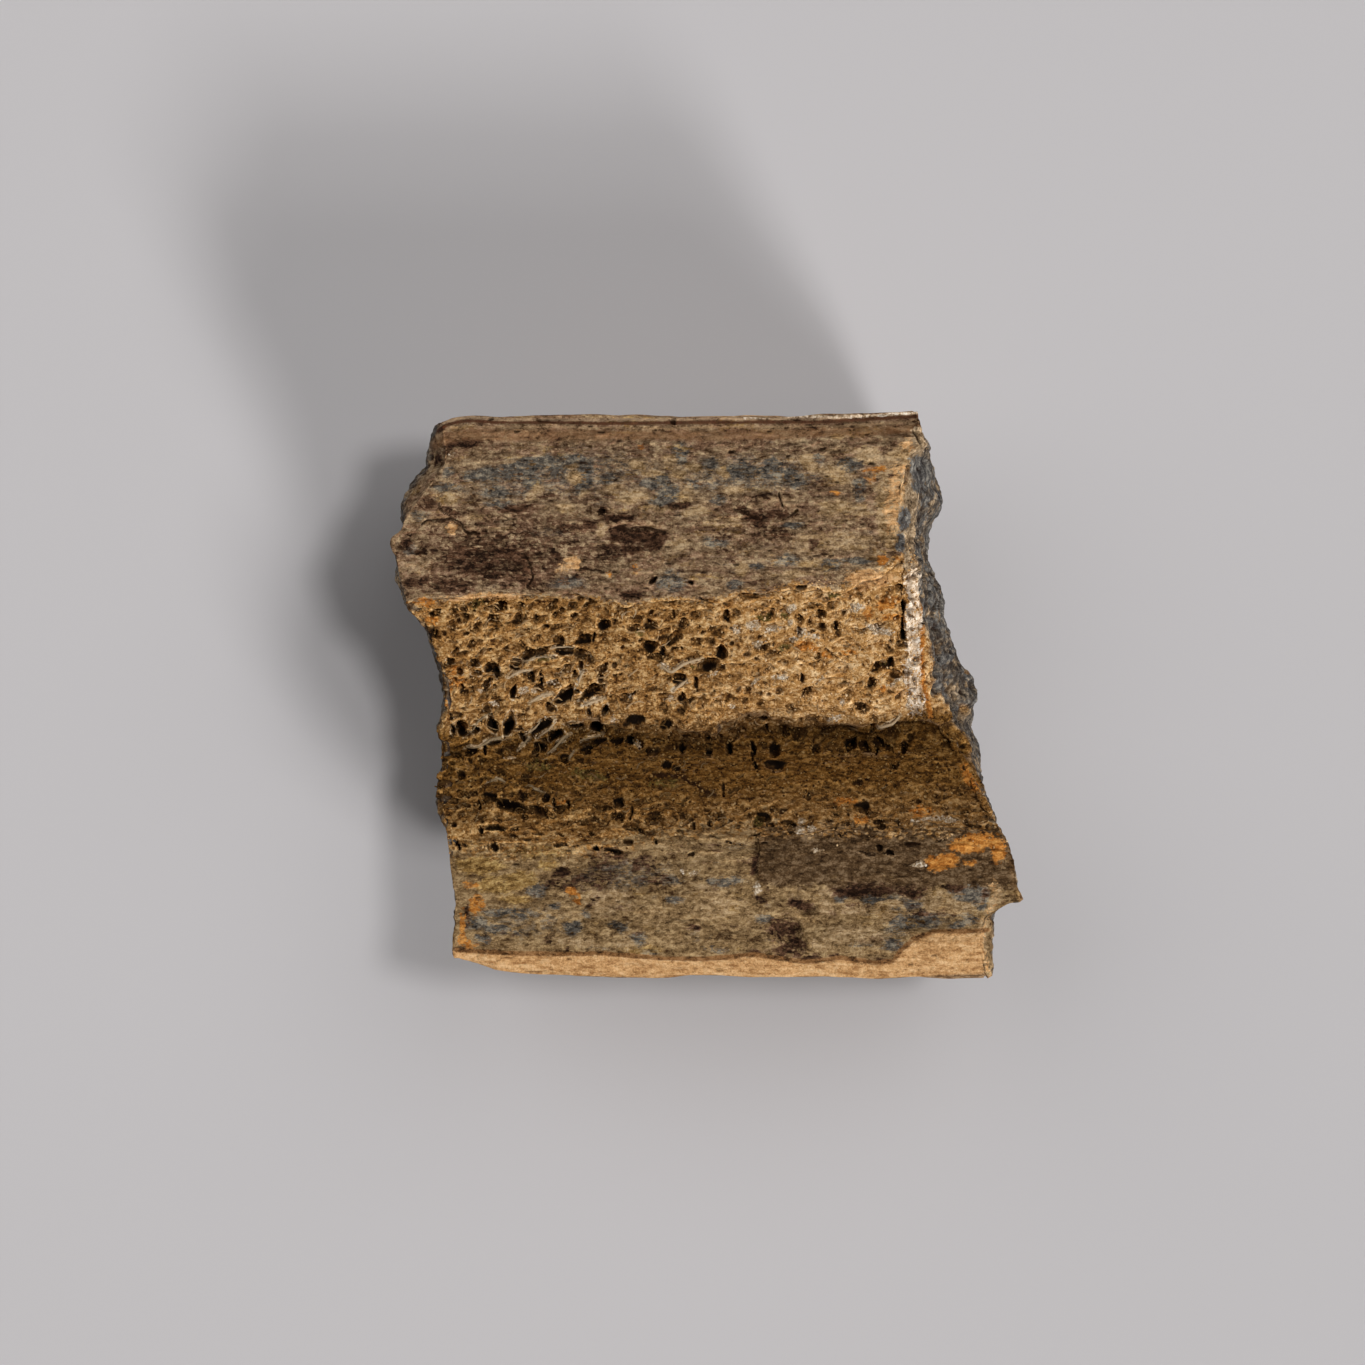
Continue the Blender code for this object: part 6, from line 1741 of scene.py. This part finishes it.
def add_small_pieces(bone):
    """Sand, pale mineral and struts on the bone's surface."""
    shown = mark_of(bone.data, "open") * mark_of(bone.data, "upper")
    shown *= (1 - mark_of(bone.data, "pore")) * (1 - mark_of(bone.data, "end"))
    trough = mark_of(bone.data, "trough")
    sand = grain_material("sand_grains", SAND_GRAIN, BRIGHT_GRAIN, TROUGH_SHADE_GRAIN)
    pale = grain_material("pale_mineral", PALE_GRAIN, PALE_GRAIN, PALE_GRAIN)
    scatter("slope_sand", bone, shown * (1 - trough), GRAIN_COUNT, 0.8, sand, NOISE_SEED + 10)
    scatter("trough_sand", bone, shown * trough, GRAIN_COUNT, 0.8, sand, NOISE_SEED + 11)
    pale_share = mark_of(bone.data, "pale") ** 3 * mark_of(bone.data, "upper")
    scatter("pale_mineral", bone, pale_share, PALE_GRAIN_COUNT, 0.6, pale, NOISE_SEED + 12)
    model_struts(bone, grain_material("struts", STRUT, STRUT, TROUGH_SHADE_STRUT))


def make_camera():
    """The camera that looks straight down."""
    data = bpy.data.cameras.new("camera")
    data.angle = 2 * math.atan(CAMERA_FIELD / 2 / CAMERA_DISTANCE)
    camera = bpy.data.objects.new("camera", data)
    camera.location = [value * MM for value in CAMERA_PLACE]
    bpy.context.scene.collection.objects.link(camera)
    bpy.context.scene.camera = camera


def make_lights():
    """The soft lights and a faint light from all around."""
    for number, (turn, height, share, width) in enumerate(LIGHTS):
        data = bpy.data.lights.new(f"light_{number}", "SUN")
        data.energy = share * math.pi / (FLOOR_COLOUR[1] * math.sin(math.radians(height)))
        data.angle = math.radians(width)
        light = bpy.data.objects.new(f"light_{number}", data)
        light.rotation_euler = (math.radians(90 - height), 0, math.radians(turn + 90))
        bpy.context.scene.collection.objects.link(light)
    world = bpy.data.worlds.new("studio")
    world.use_nodes = True
    world.node_tree.nodes["Background"].inputs["Color"].default_value = (1, 1, 1, 1)
    world.node_tree.nodes["Background"].inputs["Strength"].default_value = WORLD_LIGHT
    bpy.context.scene.world = world


def make_floor():
    """The pale paper that the bone lies on."""
    corners = np.array([(-1, -1, 0), (1, -1, 0), (1, 1, 0), (-1, 1, 0)])
    mesh = mesh_from("floor", corners * FLOOR_REACH, np.array([[0, 1, 2, 3]]))
    floor = bpy.data.objects.new("floor", mesh)
    material = bpy.data.materials.new("floor_paper")
    material.use_nodes = True
    shader = material.node_tree.nodes["Principled BSDF"]
    shader.inputs["Base Color"].default_value = (*FLOOR_COLOUR, 1)
    shader.inputs["Roughness"].default_value = 0.95
    shader.inputs["Specular IOR Level"].default_value = DULL_SPECULAR
    mesh.materials.append(material)
    bpy.context.scene.collection.objects.link(floor)


bpy.context.scene.view_settings.view_transform = "Standard"
make_camera()
make_lights()
make_floor()
bone = model_bone()
add_small_pieces(bone)
cut_into_strips(bone, bone_material())
